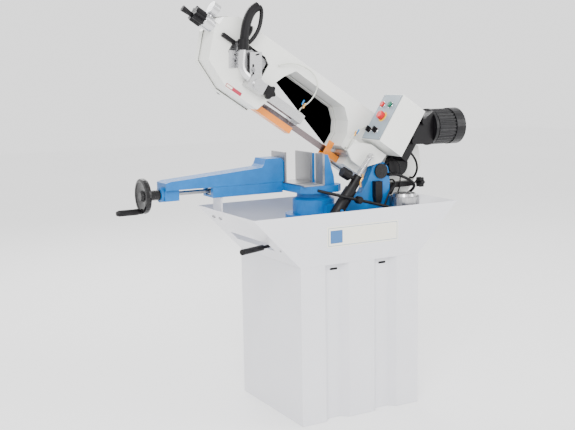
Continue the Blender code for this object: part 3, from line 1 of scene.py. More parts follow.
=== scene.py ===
"""Looks of a swivel band saw: finishes for its packed pieces, and the small fittings on them.

Everything is in metres in the frame's own axes. What stands on the bow is worked out in the
bow's axes: u along the blade, y across it and w at right angles to it, from the bow's pivot.
"""

import json
import math

import bmesh
import bpy
import numpy as np
from mathutils import Matrix, Vector


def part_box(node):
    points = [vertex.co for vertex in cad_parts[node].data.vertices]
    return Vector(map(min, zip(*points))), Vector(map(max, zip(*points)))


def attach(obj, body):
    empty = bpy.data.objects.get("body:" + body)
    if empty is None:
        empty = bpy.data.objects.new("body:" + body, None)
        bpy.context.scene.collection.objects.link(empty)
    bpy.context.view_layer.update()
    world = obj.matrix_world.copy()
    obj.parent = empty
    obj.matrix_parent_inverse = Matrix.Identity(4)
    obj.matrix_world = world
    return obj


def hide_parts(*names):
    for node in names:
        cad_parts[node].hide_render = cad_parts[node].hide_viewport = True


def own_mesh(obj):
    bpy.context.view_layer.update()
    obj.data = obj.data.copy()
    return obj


bl_info = {
    "name": "Band saw looks",
    "version": (1, 0, 0),
    "blender": (4, 5, 0),
    "location": "View3D > Sidebar > Band saw",
    "description": "Finishes and small fittings of a swivel band saw",
    "category": "Object",
}

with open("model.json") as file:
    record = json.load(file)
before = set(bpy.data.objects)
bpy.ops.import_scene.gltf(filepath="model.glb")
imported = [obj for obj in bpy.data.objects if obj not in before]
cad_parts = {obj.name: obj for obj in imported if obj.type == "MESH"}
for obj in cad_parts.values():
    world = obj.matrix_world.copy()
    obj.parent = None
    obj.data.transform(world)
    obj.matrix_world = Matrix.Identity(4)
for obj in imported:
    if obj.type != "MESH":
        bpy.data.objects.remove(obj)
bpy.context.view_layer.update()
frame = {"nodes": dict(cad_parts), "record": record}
JOINTS = {joint["name"]: joint for joint in frame["record"]["behaviour"]["joints"]}
PIVOT = np.array(JOINTS["bow_tilt"]["pos_m"])
ALONG = np.array(JOINTS["guide_slide"]["axis"])
ACROSS = np.array((0.0, 1.0, 0.0))
UP = np.cross(ALONG, ACROSS)
FEED_AXIS = np.array(JOINTS["feed_rod_slide"]["axis"])
X, Y, Z = np.eye(3)
BOW_FACE = -0.075          # front of the bow's plate


def on_bow(u, y, w):
    """A point of the frame from a point in the bow's axes."""
    return PIVOT + ALONG * u + ACROSS * y + UP * w


# ---- surfaces ---------------------------------------------------------------------------
def surface(name, grid, finish, body, closed_u=True, caps=True):
    """A mesh from a grid of points (rows, columns, 3). Columns run round and join up when
    closed_u is set. Caps close the first and last row with a point at their middle."""
    rows, columns, _ = grid.shape
    points = grid.reshape(-1, 3)
    r, c = np.meshgrid(np.arange(rows - 1), np.arange(columns if closed_u else columns - 1),
                       indexing="ij")
    after = (c + 1) % columns
    quads = np.stack([r * columns + c, r * columns + after, (r + 1) * columns + after,
                      (r + 1) * columns + c], axis=-1).reshape(-1, 4)
    faces = quads.tolist()
    if caps:
        first, last = len(points), len(points) + 1
        points = np.vstack([points, grid[0].mean(0), grid[-1].mean(0)])
        k = np.arange(columns)
        k_next = (k + 1) % columns
        faces += np.stack([k_next, k, np.full(columns, first)], axis=1).tolist()
        end = (rows - 1) * columns
        faces += np.stack([end + k, end + k_next, np.full(columns, last)], axis=1).tolist()
    mesh = bpy.data.meshes.new(name)
    mesh.from_pydata(points.tolist(), [], faces)
    mesh.validate()
    piece = bpy.data.objects.new(name, mesh)
    bpy.context.scene.collection.objects.link(piece)
    turn_outwards(mesh)
    mesh.materials.append(finish_named(finish))
    mesh.shade_smooth()
    mesh.set_sharp_from_angle(angle=math.radians(38.0))
    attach(piece, body)
    return piece


def turn_outwards(mesh):
    """Flips a closed mesh whose signed volume is negative."""
    mesh.calc_loop_triangles()
    count = len(mesh.loop_triangles)
    corners = np.empty(count * 3, dtype=np.int64)
    mesh.loop_triangles.foreach_get("vertices", corners)
    places = np.empty(len(mesh.vertices) * 3)
    mesh.vertices.foreach_get("co", places)
    tri = places.reshape(-1, 3)[corners.reshape(-1, 3)]
    volume = np.einsum("ij,ij->i", tri[:, 0], np.cross(tri[:, 1], tri[:, 2])).sum()
    if volume < 0:
        mesh.flip_normals()


def frame_of(axis):
    """Two unit directions at right angles to an axis and to each other."""
    axis = np.asarray(axis, float) / np.linalg.norm(axis)
    side = Z if abs(axis[2]) < 0.9 else X
    first = np.cross(axis, side)
    first /= np.linalg.norm(first)
    return axis, first, np.cross(axis, first)


def turned(name, base, axis, profile, finish, body, sides=48, lobes=0, depth=0.0):
    """A turned piece: each (radius, height) of the profile swept round the axis, with
    radius times 1 + depth cos(lobes angle) for a lobed or fluted outline."""
    axis, first, second = frame_of(axis)
    profile = np.asarray(profile, float)
    angle = np.linspace(0, 2 * np.pi, sides, endpoint=False)
    ripple = 1.0 + depth * np.cos(lobes * angle)
    radius = profile[:, :1] * ripple[None, :]
    grid = (np.asarray(base) + profile[:, 1, None, None] * axis
            + radius[..., None] * (np.cos(angle)[None, :, None] * first
                                   + np.sin(angle)[None, :, None] * second))
    return surface(name, grid, finish, body)


def slab(name, outline, low, high, finish, body, place=None, bevel=0.0008):
    """A plate: an outline of (a, b) points carried from height low to high, drawn in by the
    bevel at both faces. place(a, height, b) gives the frame point; by default the bow's."""
    place = place or on_bow
    outline = np.asarray(outline, float)
    middle = outline.mean(0)
    away = outline - middle
    inset = middle + away * (1 - bevel / np.linalg.norm(away, axis=1, keepdims=True))
    levels = [(inset, low), (outline, low + bevel), (outline, high - bevel), (inset, high)]
    grid = np.array([[place(a, height, b) for a, b in ring] for ring, height in levels])
    return surface(name, grid, finish, body)


def rounded(low, high, radius, per_corner=6):
    """A rectangle's outline between two corners, with its corners as quarter circles."""
    (a0, b0), (a1, b1) = low, high
    angle = np.linspace(0, np.pi / 2, per_corner)
    centres = ((a1 - radius, b1 - radius), (a0 + radius, b1 - radius),
               (a0 + radius, b0 + radius), (a1 - radius, b0 + radius))
    return np.vstack([np.stack([a + radius * np.cos(angle + k * np.pi / 2),
                                b + radius * np.sin(angle + k * np.pi / 2)], axis=1)
                      for k, (a, b) in enumerate(centres)])


def pipe(name, points, radius, finish, body, sides=16):
    """A round bar along a path: a circle set square to the path at each of its points."""
    path = np.asarray(points, float)
    tangent = np.gradient(path, axis=0)
    tangent /= np.linalg.norm(tangent, axis=1, keepdims=True)
    guide = np.cross(tangent[0], tangent[-1])
    guide = guide if np.linalg.norm(guide) > 0.05 else frame_of(tangent.mean(0))[1]
    first = np.cross(tangent, guide)
    first /= np.linalg.norm(first, axis=1, keepdims=True)
    second = np.cross(tangent, first)
    angle = np.linspace(0, 2 * np.pi, sides, endpoint=False)
    reach = np.broadcast_to(np.asarray(radius, float), len(path))[:, None, None]
    grid = path[:, None, :] + reach * (np.cos(angle)[None, :, None] * first[:, None, :]
                                       + np.sin(angle)[None, :, None] * second[:, None, :])
    return surface(name, grid, finish, body)


def smooth_route(points, count):
    """Points at even steps of a Catmull-Rom curve through the given points."""
    route = np.asarray(points, float)
    padded = np.vstack([2 * route[0] - route[1], route, 2 * route[-1] - route[-2]])
    where = np.linspace(0, len(route) - 1, count)
    span = np.minimum(where.astype(int), len(route) - 2)
    t = (where - span)[:, None]
    a, b, c, d = (padded[span + k] for k in range(4))
    return 0.5 * (2 * b + (c - a) * t + (2 * a - 5 * b + 4 * c - d) * t ** 2
                  + (3 * b - a - 3 * c + d) * t ** 3)


# ---- finishes ---------------------------------------------------------------------------
def shader_of(name, colour, roughness, metallic=0.0):
    made = bpy.data.materials.new(name)
    made.use_nodes = True
    shader = made.node_tree.nodes["Principled BSDF"]
    shader.inputs["Base Color"].default_value = (*colour, 1.0)
    shader.inputs["Roughness"].default_value = roughness
    shader.inputs["Metallic"].default_value = metallic
    return made, made.node_tree, shader


def noise_of(tree, scale, detail=4.0, stretch=None):
    """A noise in the object's axes, stretched along one of them if asked."""
    noise = tree.nodes.new("ShaderNodeTexNoise")
    noise.inputs["Scale"].default_value = scale
    noise.inputs["Detail"].default_value = detail
    where = tree.nodes.new("ShaderNodeTexCoord")
    source = where.outputs["Object"]
    if stretch:
        mapping = tree.nodes.new("ShaderNodeMapping")
        mapping.inputs["Scale"].default_value = stretch
        tree.links.new(source, mapping.inputs["Vector"])
        source = mapping.outputs["Vector"]
    tree.links.new(source, noise.inputs["Vector"])
    return noise


def ramp_of(tree, source, stops):
    ramp = tree.nodes.new("ShaderNodeValToRGB")
    ramp.color_ramp.elements[0].position = stops[0][0]
    ramp.color_ramp.elements[0].color = (*stops[0][1], 1.0)
    ramp.color_ramp.elements[1].position = stops[-1][0]
    ramp.color_ramp.elements[1].color = (*stops[-1][1], 1.0)
    for position, colour in stops[1:-1]:
        element = ramp.color_ramp.elements.new(position)
        element.color = (*colour, 1.0)
    tree.links.new(source, ramp.inputs["Fac"])
    return ramp


def bump_of(tree, shader, source, strength, distance):
    bump = tree.nodes.new("ShaderNodeBump")
    bump.inputs["Strength"].default_value = strength
    bump.inputs["Distance"].default_value = distance
    tree.links.new(source, bump.inputs["Height"])
    tree.links.new(bump.outputs["Normal"], shader.inputs["Normal"])


def shade(colour, factor):
    return tuple(min(1.0, part * factor) for part in colour)


def varied(tree, shader, colour, scale, spread, stretch=None):
    """Lets the colour drift a little lighter and darker over the piece."""
    noise = noise_of(tree, scale, stretch=stretch)
    ramp = ramp_of(tree, noise.outputs["Fac"],
                   [(0.30, shade(colour, 1 - spread)), (0.70, shade(colour, 1 + spread))])
    tree.links.new(ramp.outputs["Color"], shader.inputs["Base Color"])


def roughened(tree, shader, scale, low, high, stretch=None):
    noise = noise_of(tree, scale, stretch=stretch)
    ramp = ramp_of(tree, noise.outputs["Fac"], [(0.35, (low,) * 3), (0.65, (high,) * 3)])
    tree.links.new(ramp.outputs["Color"], shader.inputs["Roughness"])


def paint(name, colour, roughness, grain=900.0, lift=0.06, coat=0.25):
    """Sprayed paint: faint orange peel, a slight drift of colour and a clear top."""
    made, tree, shader = shader_of(name, colour, roughness)
    shader.inputs["Coat Weight"].default_value = coat
    shader.inputs["Coat Roughness"].default_value = 0.15
    varied(tree, shader, colour, 6.0, 0.02)
    roughened(tree, shader, 30.0, roughness - 0.06, roughness + 0.06)
    bump_of(tree, shader, noise_of(tree, grain, 2.0).outputs["Fac"], lift, 0.0006)
    return made


def cast_paint(name, colour, roughness):
    """Paint over rough casting: lumps under it, and darker in the hollows."""
    made, tree, shader = shader_of(name, colour, roughness)
    shader.inputs["Specular IOR Level"].default_value = 0.30
    shader.inputs["Coat Weight"].default_value = 0.12
    shader.inputs["Coat Roughness"].default_value = 0.25
    varied(tree, shader, colour, 22.0, 0.10)
    roughened(tree, shader, 60.0, roughness - 0.08, roughness + 0.10)
    bump_of(tree, shader, noise_of(tree, 260.0, 6.0).outputs["Fac"], 0.30, 0.0012)
    return made


def moulded(name, colour, roughness, grain=700.0, gloss=0.22):
    """Moulded plastic or black enamel with a fine leathery grain."""
    made, tree, shader = shader_of(name, colour, roughness)
    shader.inputs["Specular IOR Level"].default_value = gloss
    varied(tree, shader, colour, 40.0, 0.12)
    roughened(tree, shader, 80.0, roughness - 0.07, roughness + 0.09)
    bump_of(tree, shader, noise_of(tree, grain, 3.0).outputs["Fac"], 0.12, 0.0006)
    return made


def ground_metal(name, colour, roughness, stretch=(1.0, 1.0, 26.0), spread=0.14):
    """Metal with fine grinding lines, which run across the stretched axis."""
    made, tree, shader = shader_of(name, colour, roughness, 1.0)
    varied(tree, shader, colour, 55.0, spread, stretch)
    roughened(tree, shader, 70.0, roughness - 0.08, roughness + 0.12, stretch)
    lines = noise_of(tree, 160.0, 3.0, stretch)
    bump_of(tree, shader, lines.outputs["Fac"], 0.10, 0.0003)
    return made


def clear_hose(name, colour):
    made, tree, shader = shader_of(name, colour, 0.25)
    shader.inputs["Coat Weight"].default_value = 0.5
    varied(tree, shader, colour, 60.0, 0.06)
    return made


def tint(name):
    """A colour that the user can set."""
    return tuple(getattr(bpy.context.scene.bandsaw_finishes, name))


MAKERS = {
    "base white": lambda: paint("base white", tint("base"), 0.42, 1400.0, 0.05, 0.15),
    "bow white": lambda: paint("bow white", tint("bow"), 0.34, 1000.0, 0.06, 0.3),
    "casting blue": lambda: cast_paint("casting blue", tint("casting"), 0.40),
    "black": lambda: moulded("black", (0.0035, 0.003, 0.004), 0.42),
    "black gloss": lambda: moulded("black gloss", (0.003, 0.0027, 0.0033), 0.24, 400.0, 0.35),
    "motor black": lambda: moulded("motor black", (0.005, 0.0048, 0.006), 0.36, 500.0, 0.25),
    "steel": lambda: ground_metal("steel", (0.33, 0.33, 0.34), 0.32),
    "plate steel": lambda: ground_metal("plate steel", (0.40, 0.40, 0.41), 0.34, (1.0, 26.0, 1.0)),
    "drum steel": lambda: ground_metal("drum steel", (0.44, 0.44, 0.45), 0.27, (1.0, 1.0, 0.05)),
    "bright steel": lambda: ground_metal("bright steel", (0.62, 0.62, 0.63), 0.18, spread=0.06),
    "blade": lambda: ground_metal("blade", (0.20, 0.165, 0.17), 0.30, (6.0, 1.0, 6.0)),
    "orange": lambda: paint("orange", tint("guard"), 0.38, 900.0, 0.08),
    "panel grey": lambda: paint("panel grey", tint("panel"), 0.48, 1600.0, 0.05, 0.05),
    "red": lambda: moulded("red", (0.60, 0.012, 0.018), 0.28, 500.0, 0.35),
    "green": lambda: moulded("green", (0.008, 0.125, 0.075), 0.28, 500.0),
    "yellow": lambda: moulded("yellow", (0.83, 0.52, 0.03), 0.36, 900.0),
    "hose clear": lambda: clear_hose("hose clear", (0.60, 0.62, 0.55)),
    "hose black": lambda: moulded("hose black", (0.004, 0.0037, 0.0045), 0.34, 1200.0),
    "brass": lambda: ground_metal("brass", (0.62, 0.34, 0.09), 0.24, spread=0.10),
    "valve blue": lambda: moulded("valve blue", (0.02, 0.17, 0.42), 0.30, 700.0),
    "label cream": lambda: paint("label cream", (0.80, 0.78, 0.68), 0.40, 2000.0, 0.03, 0.2),
    "label red": lambda: paint("label red", (0.40, 0.012, 0.045), 0.35, 2000.0, 0.03, 0.3),
    "label blue": lambda: paint("label blue", (0.02, 0.12, 0.32), 0.35, 2000.0, 0.03, 0.3),
}


def finish_named(name):
    return bpy.data.materials.get(name) or MAKERS[name]()


NODE_FINISHES = {
    "base white": ("cabinet", "tray", "vice_post"),
    "bow white": ("bow_frame", "rear_cover", "bracket_plate", "control_box"),
    "casting blue": ("pedestal", "table_casting", "vice_bed", "vice_slide", "swivel_arm"),
    "black": ("vice_grip", "lock_lever", "limit_switch", "stop_bracket", "stop_knob",
              "clamp_bar", "feed_cylinder", "feed_knob", "gearbox", "handle_grip", "trigger",
              "selector_left", "selector_right", "guide_knob", "tension_wheel"),
    "black gloss": ("vice_hand_wheel", "pivot_shaft"),
    "motor black": ("motor", "fan_cowl"),
    "steel": ("fixed_jaw_front", "fixed_jaw_rear", "moving_jaw", "vice_nut", "vice_screw",
              "idler_carriage", "guide_block_left", "guide_block_right", "idler_wheel",
              "drive_wheel"),
    "plate steel": ("table_plate",),
    "drum steel": ("coolant_pump",),
    "bright steel": ("guide_bar", "feed_rod", "pull_handle", "tension_gauge"),
    "blade": ("blade",),
    "orange": ("guard_left", "guard_right"),
    "panel grey": ("control_panel",),
    "red": ("stop_button", "emergency_stop"),
    "green": ("start_button",),
}


def dress_nodes():
    """Gives every packed node its finish."""
    for finish, nodes in NODE_FINISHES.items():
        for node in nodes:
            mesh = frame["nodes"][node].data
            mesh.materials.clear()
            mesh.materials.append(finish_named(finish))


# ---- cables and hoses -------------------------------------------------------------------
# The same points as the solids' own routes: on the bow in its axes, elsewhere in the frame's.
BOW_ROUTES = {
    "motor_cable": (0.0050, 26, "hose black", [
        (0.0558, -0.150, 0.136), (0.075, -0.150, 0.136), (0.119, -0.143, 0.125),
        (0.154, -0.130, 0.106), (0.173, -0.114, 0.086), (0.1805, -0.100, 0.071),
        (0.182, -0.088, 0.067), (0.182, -0.0756, 0.067)]),
    "coolant_tube_left": (0.0026, 40, "hose clear", [
        (-0.640, -0.0756, 0.120), (-0.640, -0.083, 0.120), (-0.634, -0.089, 0.130),
        (-0.600, -0.092, 0.157), (-0.545, -0.094, 0.176), (-0.490, -0.092, 0.175),
        (-0.450, -0.088, 0.150), (-0.436, -0.078, 0.108), (-0.432, -0.056, 0.075),
        (-0.4315, -0.030, 0.058), (-0.4315, -0.018, 0.044), (-0.4315, -0.0178, 0.0304)]),
    "coolant_tube_right": (0.0026, 24, "hose clear", [
        (-0.150, -0.0756, 0.130), (-0.150, -0.083, 0.130), (-0.158, -0.089, 0.121),
        (-0.178, -0.097, 0.097), (-0.194, -0.102, 0.062), (-0.1945, -0.104, 0.020),
        (-0.1945, -0.104, -0.0131)]),
}
ARM_ROUTES = {
    "pump_conduit": (0.0065, 34, "hose black", [
        (0.2365, -0.1188, 0.990), (0.2367, -0.131, 0.990), (0.252, -0.139, 0.991),
        (0.2776, -0.140, 0.986), (0.315, -0.140, 0.971), (0.3475, -0.138, 0.953),
        (0.368, -0.131, 0.931), (0.360, -0.112, 0.906), (0.330, -0.095, 0.890),
        (0.295, -0.0885, 0.882), (0.262, -0.0885, 0.880), (0.2456, -0.0885, 0.880)]),
    "switch_cable": (0.0028, 40, "hose black", [
        (0.219, -0.1188, 1.036), (0.220, -0.128, 1.037), (0.238, -0.130, 1.046),
        (0.262, -0.130, 1.048), (0.285, -0.130, 1.036), (0.2935, -0.129, 1.008),
        (0.2965, -0.1245, 0.965), (0.2965, -0.120, 0.930), (0.291, -0.1095, 0.900),
        (0.276, -0.1085, 0.870), (0.256, -0.108, 0.858), (0.2456, -0.108, 0.858)]),
    "coolant_hose": (0.0040, 30, "hose black", [
        (0.2456, -0.104, 0.964), (0.258, -0.106, 0.964), (0.268, -0.113, 0.962),
        (0.269, -0.1235, 0.948), (0.255, -0.1255, 0.931), (0.238, -0.1265, 0.912),
        (0.224, -0.128, 0.886), (0.212, -0.129, 0.860), (0.204, -0.130, 0.838),
        (0.2015, -0.1285, 0.822), (0.201, -0.1188, 0.819)]),
}


def cord(name, route, radius, finish, body):
    """A round hose along its route, as a mesh tube, in place of its plain solid."""
    piece = pipe(name + "_run", route, radius, finish, body, sides=20)
    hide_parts(name)
    return piece


def make_cords():
    """Every cable and hose along its own route; the first three ride on the bow."""
    for name, (radius, count, finish, points) in BOW_ROUTES.items():
        route = smooth_route([on_bow(*p) for p in points], count)
        cord(name, route, radius, finish, "bow")
    for name, (radius, count, finish, points) in ARM_ROUTES.items():
        cord(name, smooth_route(points, count), radius, finish, "swivel")


# ---- fittings ---------------------------------------------------------------------------
def dome(radius, height, steps=7):
    """Profile of a low round head: a quarter ellipse from its rim to its top."""
    angle = np.linspace(0, np.pi / 2 * 0.98, steps)
    return np.stack([radius * np.cos(angle), height * np.sin(angle)], axis=1)


def screw(name, base, axis, radius, finish, body, height=0.0022):
    """A button-headed screw with a dark socket in its top."""
    turned(name, base, axis, np.vstack([[[radius, -0.0004]], dome(radius, height)]),
           finish, body, 20)
    axis = np.asarray(axis, float)
    # The socket is not cut: a thin black disc paints the shade inside it.
    turned(name + "_socket", np.asarray(base) + axis * (height - 0.0004), axis,
           [(radius * 0.42, 0.0), (radius * 0.42, 0.0007), (radius * 0.36, 0.0008)],
           "black", body, 6)


def hex_bolt(name, base, axis, radius, finish, body, height=0.005):
    """A six-sided head on a washer."""
    turned(name + "_washer", base, axis, [(radius * 1.35, 0), (radius * 1.35, 0.0011),
                                          (radius * 1.25, 0.0014)], finish, body, 24)
    turned(name, np.asarray(base) + np.asarray(axis, float) * 0.001, axis,
           [(radius, 0), (radius, height * 0.8), (radius * 0.86, height)], finish, body, 6)


def stadium(start, end, radius, per_end=8):
    """Outline of a slot: two half circles round its ends, in plan."""
    start, end = np.array(start, float), np.array(end, float)
    heading = math.atan2(*(end - start)[::-1])
    half = np.linspace(-np.pi / 2, np.pi / 2, per_end)
    ring = [np.stack([np.cos(half + heading + k * np.pi), np.sin(half + heading + k * np.pi)], 1)
            for k in (0, 1)]
    return np.vstack([end + radius * ring[0], start + radius * ring[1]])


def make_cover_plates():
    """Two silver clamp plates on the bow's left end, with slots, and the switch by them."""
    face, thick = BOW_FACE, 0.004
    for name, corners, slot_ends in (
            ("plate_left", [(-.8604, .0516), (-.8018, .0899), (-.7647, .0304), (-.8237, -.0074)],
             [(-.8290, .0510), (-.8160, .0310)]),
            ("plate_right", [(-.7792, .0954), (-.7343, .1247), (-.6798, .0379), (-.7253, .0091)],
             [(-.7400, .0600), (-.7210, .0300)])):
        slab(name, corners, face - thick, face, "bright steel", "bow", bevel=0.0006)
        # Each slot is not cut through: a thin black sheet on the plate paints the shade in it.
        slab(name + "_slot", stadium(*slot_ends, 0.0042), face - thick - 0.0006, face - thick,
             "black", "bow", bevel=0.0002)
        middle = np.mean(slot_ends, axis=0)
        hex_bolt(name + "_bolt", on_bow(middle[0], face - thick - 0.0006, middle[1]), -ACROSS,
                 0.0075, "steel", "bow")
    # A black sheet paints the shade seen through the small window in the plate.
    slab("plate_window", stadium((-.7500, .1010), (-.7415, .1100), 0.0030),
         face - thick - 0.0006, face - thick, "black", "bow", bevel=0.0002)
    screw("plate_screw", on_bow(-.7850, face, .1079), -ACROSS, 0.0065, "black", "bow", 0.004)
    slab("end_switch", rounded((-.9185, .0790), (-.8565, .0945), 0.002), face - 0.016, face,
         "black", "bow", bevel=0.001)


# Outline of the bow in its own axes, whose rear cover fits over it.
COVER_OUTLINE = [
    (-.630, -.078), (-.790, -.078), (-.912, -.026), (-.952, .080), (-.942, .150), (-.893, .186),
    (-.127, .206), (.145, .206), (.205, .145), (.205, .010), (.130, -.058), (-.155, -.058),
    (-.155, -.010), (-.208, .000), (-.208, .058), (-.234, .107), (-.280, .147), (-.560, .147),
    (-.597, .097), (-.620, .048), (-.602, -.008)]
COVER_FRONT, COVER_BACK, COVER_SHEET = 0.020, 0.050, 0.002
COVER_INSIDE, COVER_SOFT, COVER_OUTSIDE, COVER_EDGE = 0.0045, 0.0053, 0.0065, 0.0012


def grown(outline, amount):
    """An outline moved outwards: each corner goes along the sum of its two edges' outward
    normals, by the amount over one plus their dot product."""
    points = np.asarray(outline, float)
    before, after = points - np.roll(points, 1, 0), np.roll(points, -1, 0) - points
    area = (points[:, 0] * np.roll(points[:, 1], -1) - np.roll(points[:, 0], -1) * points[:, 1]).sum()
    normals = [np.stack([e[:, 1], -e[:, 0]], 1) / np.linalg.norm(e, axis=1, keepdims=True)
               * np.sign(area) for e in (before, after)]
    both = normals[0] + normals[1]
    return points + both * amount / (1 + (normals[0] * normals[1]).sum(1))[:, None]


def make_rear_cover():
    """The rear cover: a sheet dish. Rings of one outline run round its inside, its rim and its
    outside, and its two flat bottoms are filled across. The throat should stay open, but
    renders black: an open fault, described in the report."""
    outer = grown(COVER_OUTLINE, COVER_OUTSIDE)
    inner = grown(COVER_OUTLINE, COVER_INSIDE)
    soft = grown(COVER_OUTLINE, COVER_SOFT)
    rings = [(inner, COVER_BACK - COVER_SHEET), (inner, COVER_FRONT), (outer, COVER_FRONT),
             (outer, COVER_BACK - COVER_EDGE), (soft, COVER_BACK)]
    shape = bmesh.new()
    loops = [[shape.verts.new(on_bow(u, y, w)) for u, w in ring] for ring, y in rings]
    for loop, following in zip(loops, loops[1:]):
        for k in range(len(loop)):
            shape.faces.new((loop[k - 1], loop[k], following[k], following[k - 1]))
    bottoms = [shape.faces.new(loops[0]), shape.faces.new(loops[-1])]
    bmesh.ops.triangulate(shape, faces=bottoms, ngon_method="EAR_CLIP")
    bmesh.ops.recalc_face_normals(shape, faces=shape.faces)
    mesh = bpy.data.meshes.new("cover_sheet")
    shape.to_mesh(mesh)
    shape.free()
    mesh.materials.append(finish_named("bow white"))
    cover = bpy.data.objects.new("cover_sheet", mesh)
    bpy.context.scene.collection.objects.link(cover)
    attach(cover, "rear_cover")
    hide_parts("rear_cover")
    hinge = [on_bow(-.848, COVER_FRONT, .1947), on_bow(-.168, COVER_FRONT, .2120)]
    pipe("cover_knuckle", np.linspace(*hinge, 9), 0.004, "bow white", "rear_cover")
    knob = on_bow(-.750, COVER_BACK, -.068)
    turned("cover_knob", knob, ACROSS, [(.005, -.001), (.005, .010), (.0105, .012), (.0145, .018),
                                        (.015, .023), (.0125, .030), (.0070, .0345), (.002, .036)],
           "black", "rear_cover", 32)


def make_labels():
    """Plain generic labels, without any lettering."""
    face = BOW_FACE
    slab("bow_label", rounded((-.800, -.0745), (-.722, -.0600), 0.0015), face - 0.0009, face,
         "label red", "bow", bevel=0.0002)
    slab("bow_label_field", rounded((-.797, -.0718), (-.768, -.0627), 0.001), face - 0.0012,
         face - 0.0009, "label cream", "bow", bevel=0.0001)


def tray_front(a, height, b):
    """A point on the tray's front wall: a is x, b is z, height is how far it stands out."""
    return np.array((a, -0.265 - height, b))


def make_name_plate():
    """A blank cream plate on the tray's front wall, with a thin border and a plain block."""
    slab("name_plate", rounded((-.166, .730), (.185, .815), 0.004), -0.0003, 0.0004, "label cream",
         "stand", tray_front, 0.0001)
    for k, (low, high) in enumerate((((-.160, .8080), (.179, .8095)), ((-.160, .7355), (.179, .7370)),
                                     ((-.160, .7370), (-.1585, .8080)),
                                     ((.1775, .7370), (.179, .8080)))):
        slab(f"name_plate_border_{k}", rounded(low, high, 0.0005, 3), 0.0003, 0.0006,
             "label blue", "stand", tray_front, 0.00005)
    slab("name_plate_block", rounded((-.150, .7460), (-.092, .7990), 0.003), 0.0003, 0.0006,
         "label blue", "stand", tray_front, 0.00005)


def make_valves():
    """Brass taps with blue levers, in line on the two coolant tubes and at the arm's elbow."""
    tap = [(0.0044, -.011), (0.0056, -.010), (0.0056, -.006), (0.0040, -.005), (0.0052, -.003),
           (0.0052, .003), (0.0040, .005), (0.0056, .006), (0.0056, .010), (0.0044, .011)]
    for name, place, way, lever in (
            ("left_tap", (-.4315, -.0345, .0600), UP, -ALONG),
            ("right_tap", (-.1886, -.1008, .0740), UP, -ACROSS)):
        base = on_bow(*place)
        turned(name, base, way, tap, "brass", "bow", 24)
        turned(name + "_stem", base, lever, [(.0024, .003), (.0024, .012)], "brass", "bow", 16)
        stem_top = base + np.asarray(lever) * 0.012
        pipe(name + "_lever", [stem_top - way * 0.002, stem_top + way * 0.006,
                               stem_top + way * 0.018, stem_top + way * 0.021],
             [0.0026, 0.0032, 0.0034, 0.0016], "valve blue", "bow")
    upper, lower = np.array((.0538, -.193, 1.0097)), np.array((.0435, -.193, .9558))
    bend = smooth_route([upper, upper + (0, 0, -.016), lower + (0, 0, .022), lower], 16)
    pipe("elbow", bend, 0.0042, "brass", "feed_cylinder", 20)


def make_spring():
    """The return spring round the feed rod: a helix whose radius stays put along the rod."""
    top = on_bow(-.1079, -.159, .0146)
    start = top - FEED_AXIS * 0.100
    axis, first, second = frame_of(FEED_AXIS)
    turns, steps = 17, 17 * 14
    t = np.linspace(0, 1, steps)
    angle = 2 * np.pi * turns * t
    path = (start + t[:, None] * axis * 0.100 + 0.0112 * (np.cos(angle)[:, None] * first
                                                      + np.sin(angle)[:, None] * second))
    spring = pipe("feed_spring", path, 0.0011, "bright steel", "feed_cylinder", 8)
    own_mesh(spring)


def make_controls():
    """Collar, rings and screws of the control panel, on the sloping box's own face."""
    face = -.1373

    def panel(a, height, b):
        return on_bow(face - height, a, b)

    for name, (y, w), radius in (("stop_ring", (-.109, .247), .0155),
                                 ("start_ring", (-.164, .247), .0155),
                                 ("selector_left_ring", (-.107, .122), .0152),
                                 ("selector_right_ring", (-.154, .122), .0152)):
        turned(name, panel(y, 0, w), -ALONG, [(radius - .0024, 0), (radius, 0), (radius, .0022),
                                              (radius - .0009, .0032), (radius - .0024, .0032)],
               "bright steel", "bow", 40)
    for k, (y, w) in enumerate(((-.202, .090), (-.086, .090), (-.202, .290), (-.086, .290))):
        screw(f"panel_screw_{k}", panel(y, 0, w), -ALONG, .0032, "bright steel", "bow", .0014)
    turned("emergency_collar", panel(-.150, 0, .190), -ALONG,
           [(.014, 0), (.0235, 0), (.0235, .0012), (.0225, .0018), (.014, .0018)],
           "yellow", "bow", 48)


def ring_row(name, axis, centre, radii, stations, width, finish, body, sides=64):
    """Thin rings set one after another along an axis, as cooling fins or ribs."""
    inner, outer = radii
    for k, station in enumerate(stations):
        turned(f"{name}_{k}", np.asarray(centre) + np.asarray(axis) * station, axis,
               [(inner, 0), (outer - width * 0.2, 0), (outer, width * 0.3), (outer, width * 0.7),
                (outer - width * 0.2, width), (inner, width)], finish, body, sides)


def make_motor_fins():
    """Fins along the motor: a closed ripple of radius round its axis."""
    low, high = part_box("motor")
    centre_y, centre_z = (low[1] + high[1]) / 2, (low[2] + high[2]) / 2
    start, stop = low[0] + 0.020, high[0] - 0.010
    turned("motor_fins", (start, centre_y, centre_z), X,
           [(.0735, 0), (.0760, .001), (.0760, stop - start - .001), (.0735, stop - start)],
           "motor black", "bow", 240, lobes=30, depth=0.022)
    low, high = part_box("fan_cowl")
    ring_row("cowl_rib", X, (high[0] - .0005, (low[1] + high[1]) / 2, (low[2] + high[2]) / 2),
             (.020, .024), (0.0,), 0.0004, "motor black", "bow")


def make_base_fittings():
    """Bolts on the tray's leaning left wall, and the dark vents at the tops of the channels."""
    down_left = np.array((-0.713, 0.0, -0.701))
    for k, (x, y, z) in enumerate(((-.4568, .184, .829), (-.4568, .118, .829))):
        hex_bolt(f"wall_bolt_{k}", (x, y, z), down_left, 0.0065, "steel", "stand")
    screw("wall_screw", (-.3634, -.235, .734), down_left, 0.0055, "steel", "stand")
    for k, x in enumerate((-.120, .120)):
        # Black stadiums paint the shade inside the vents.
        slab(f"channel_vent_{k}", stadium((x - .014, .636), (x + .014, .636), .0048), -0.0272,
             -0.0264, "black", "stand", tray_front, 0.0001)


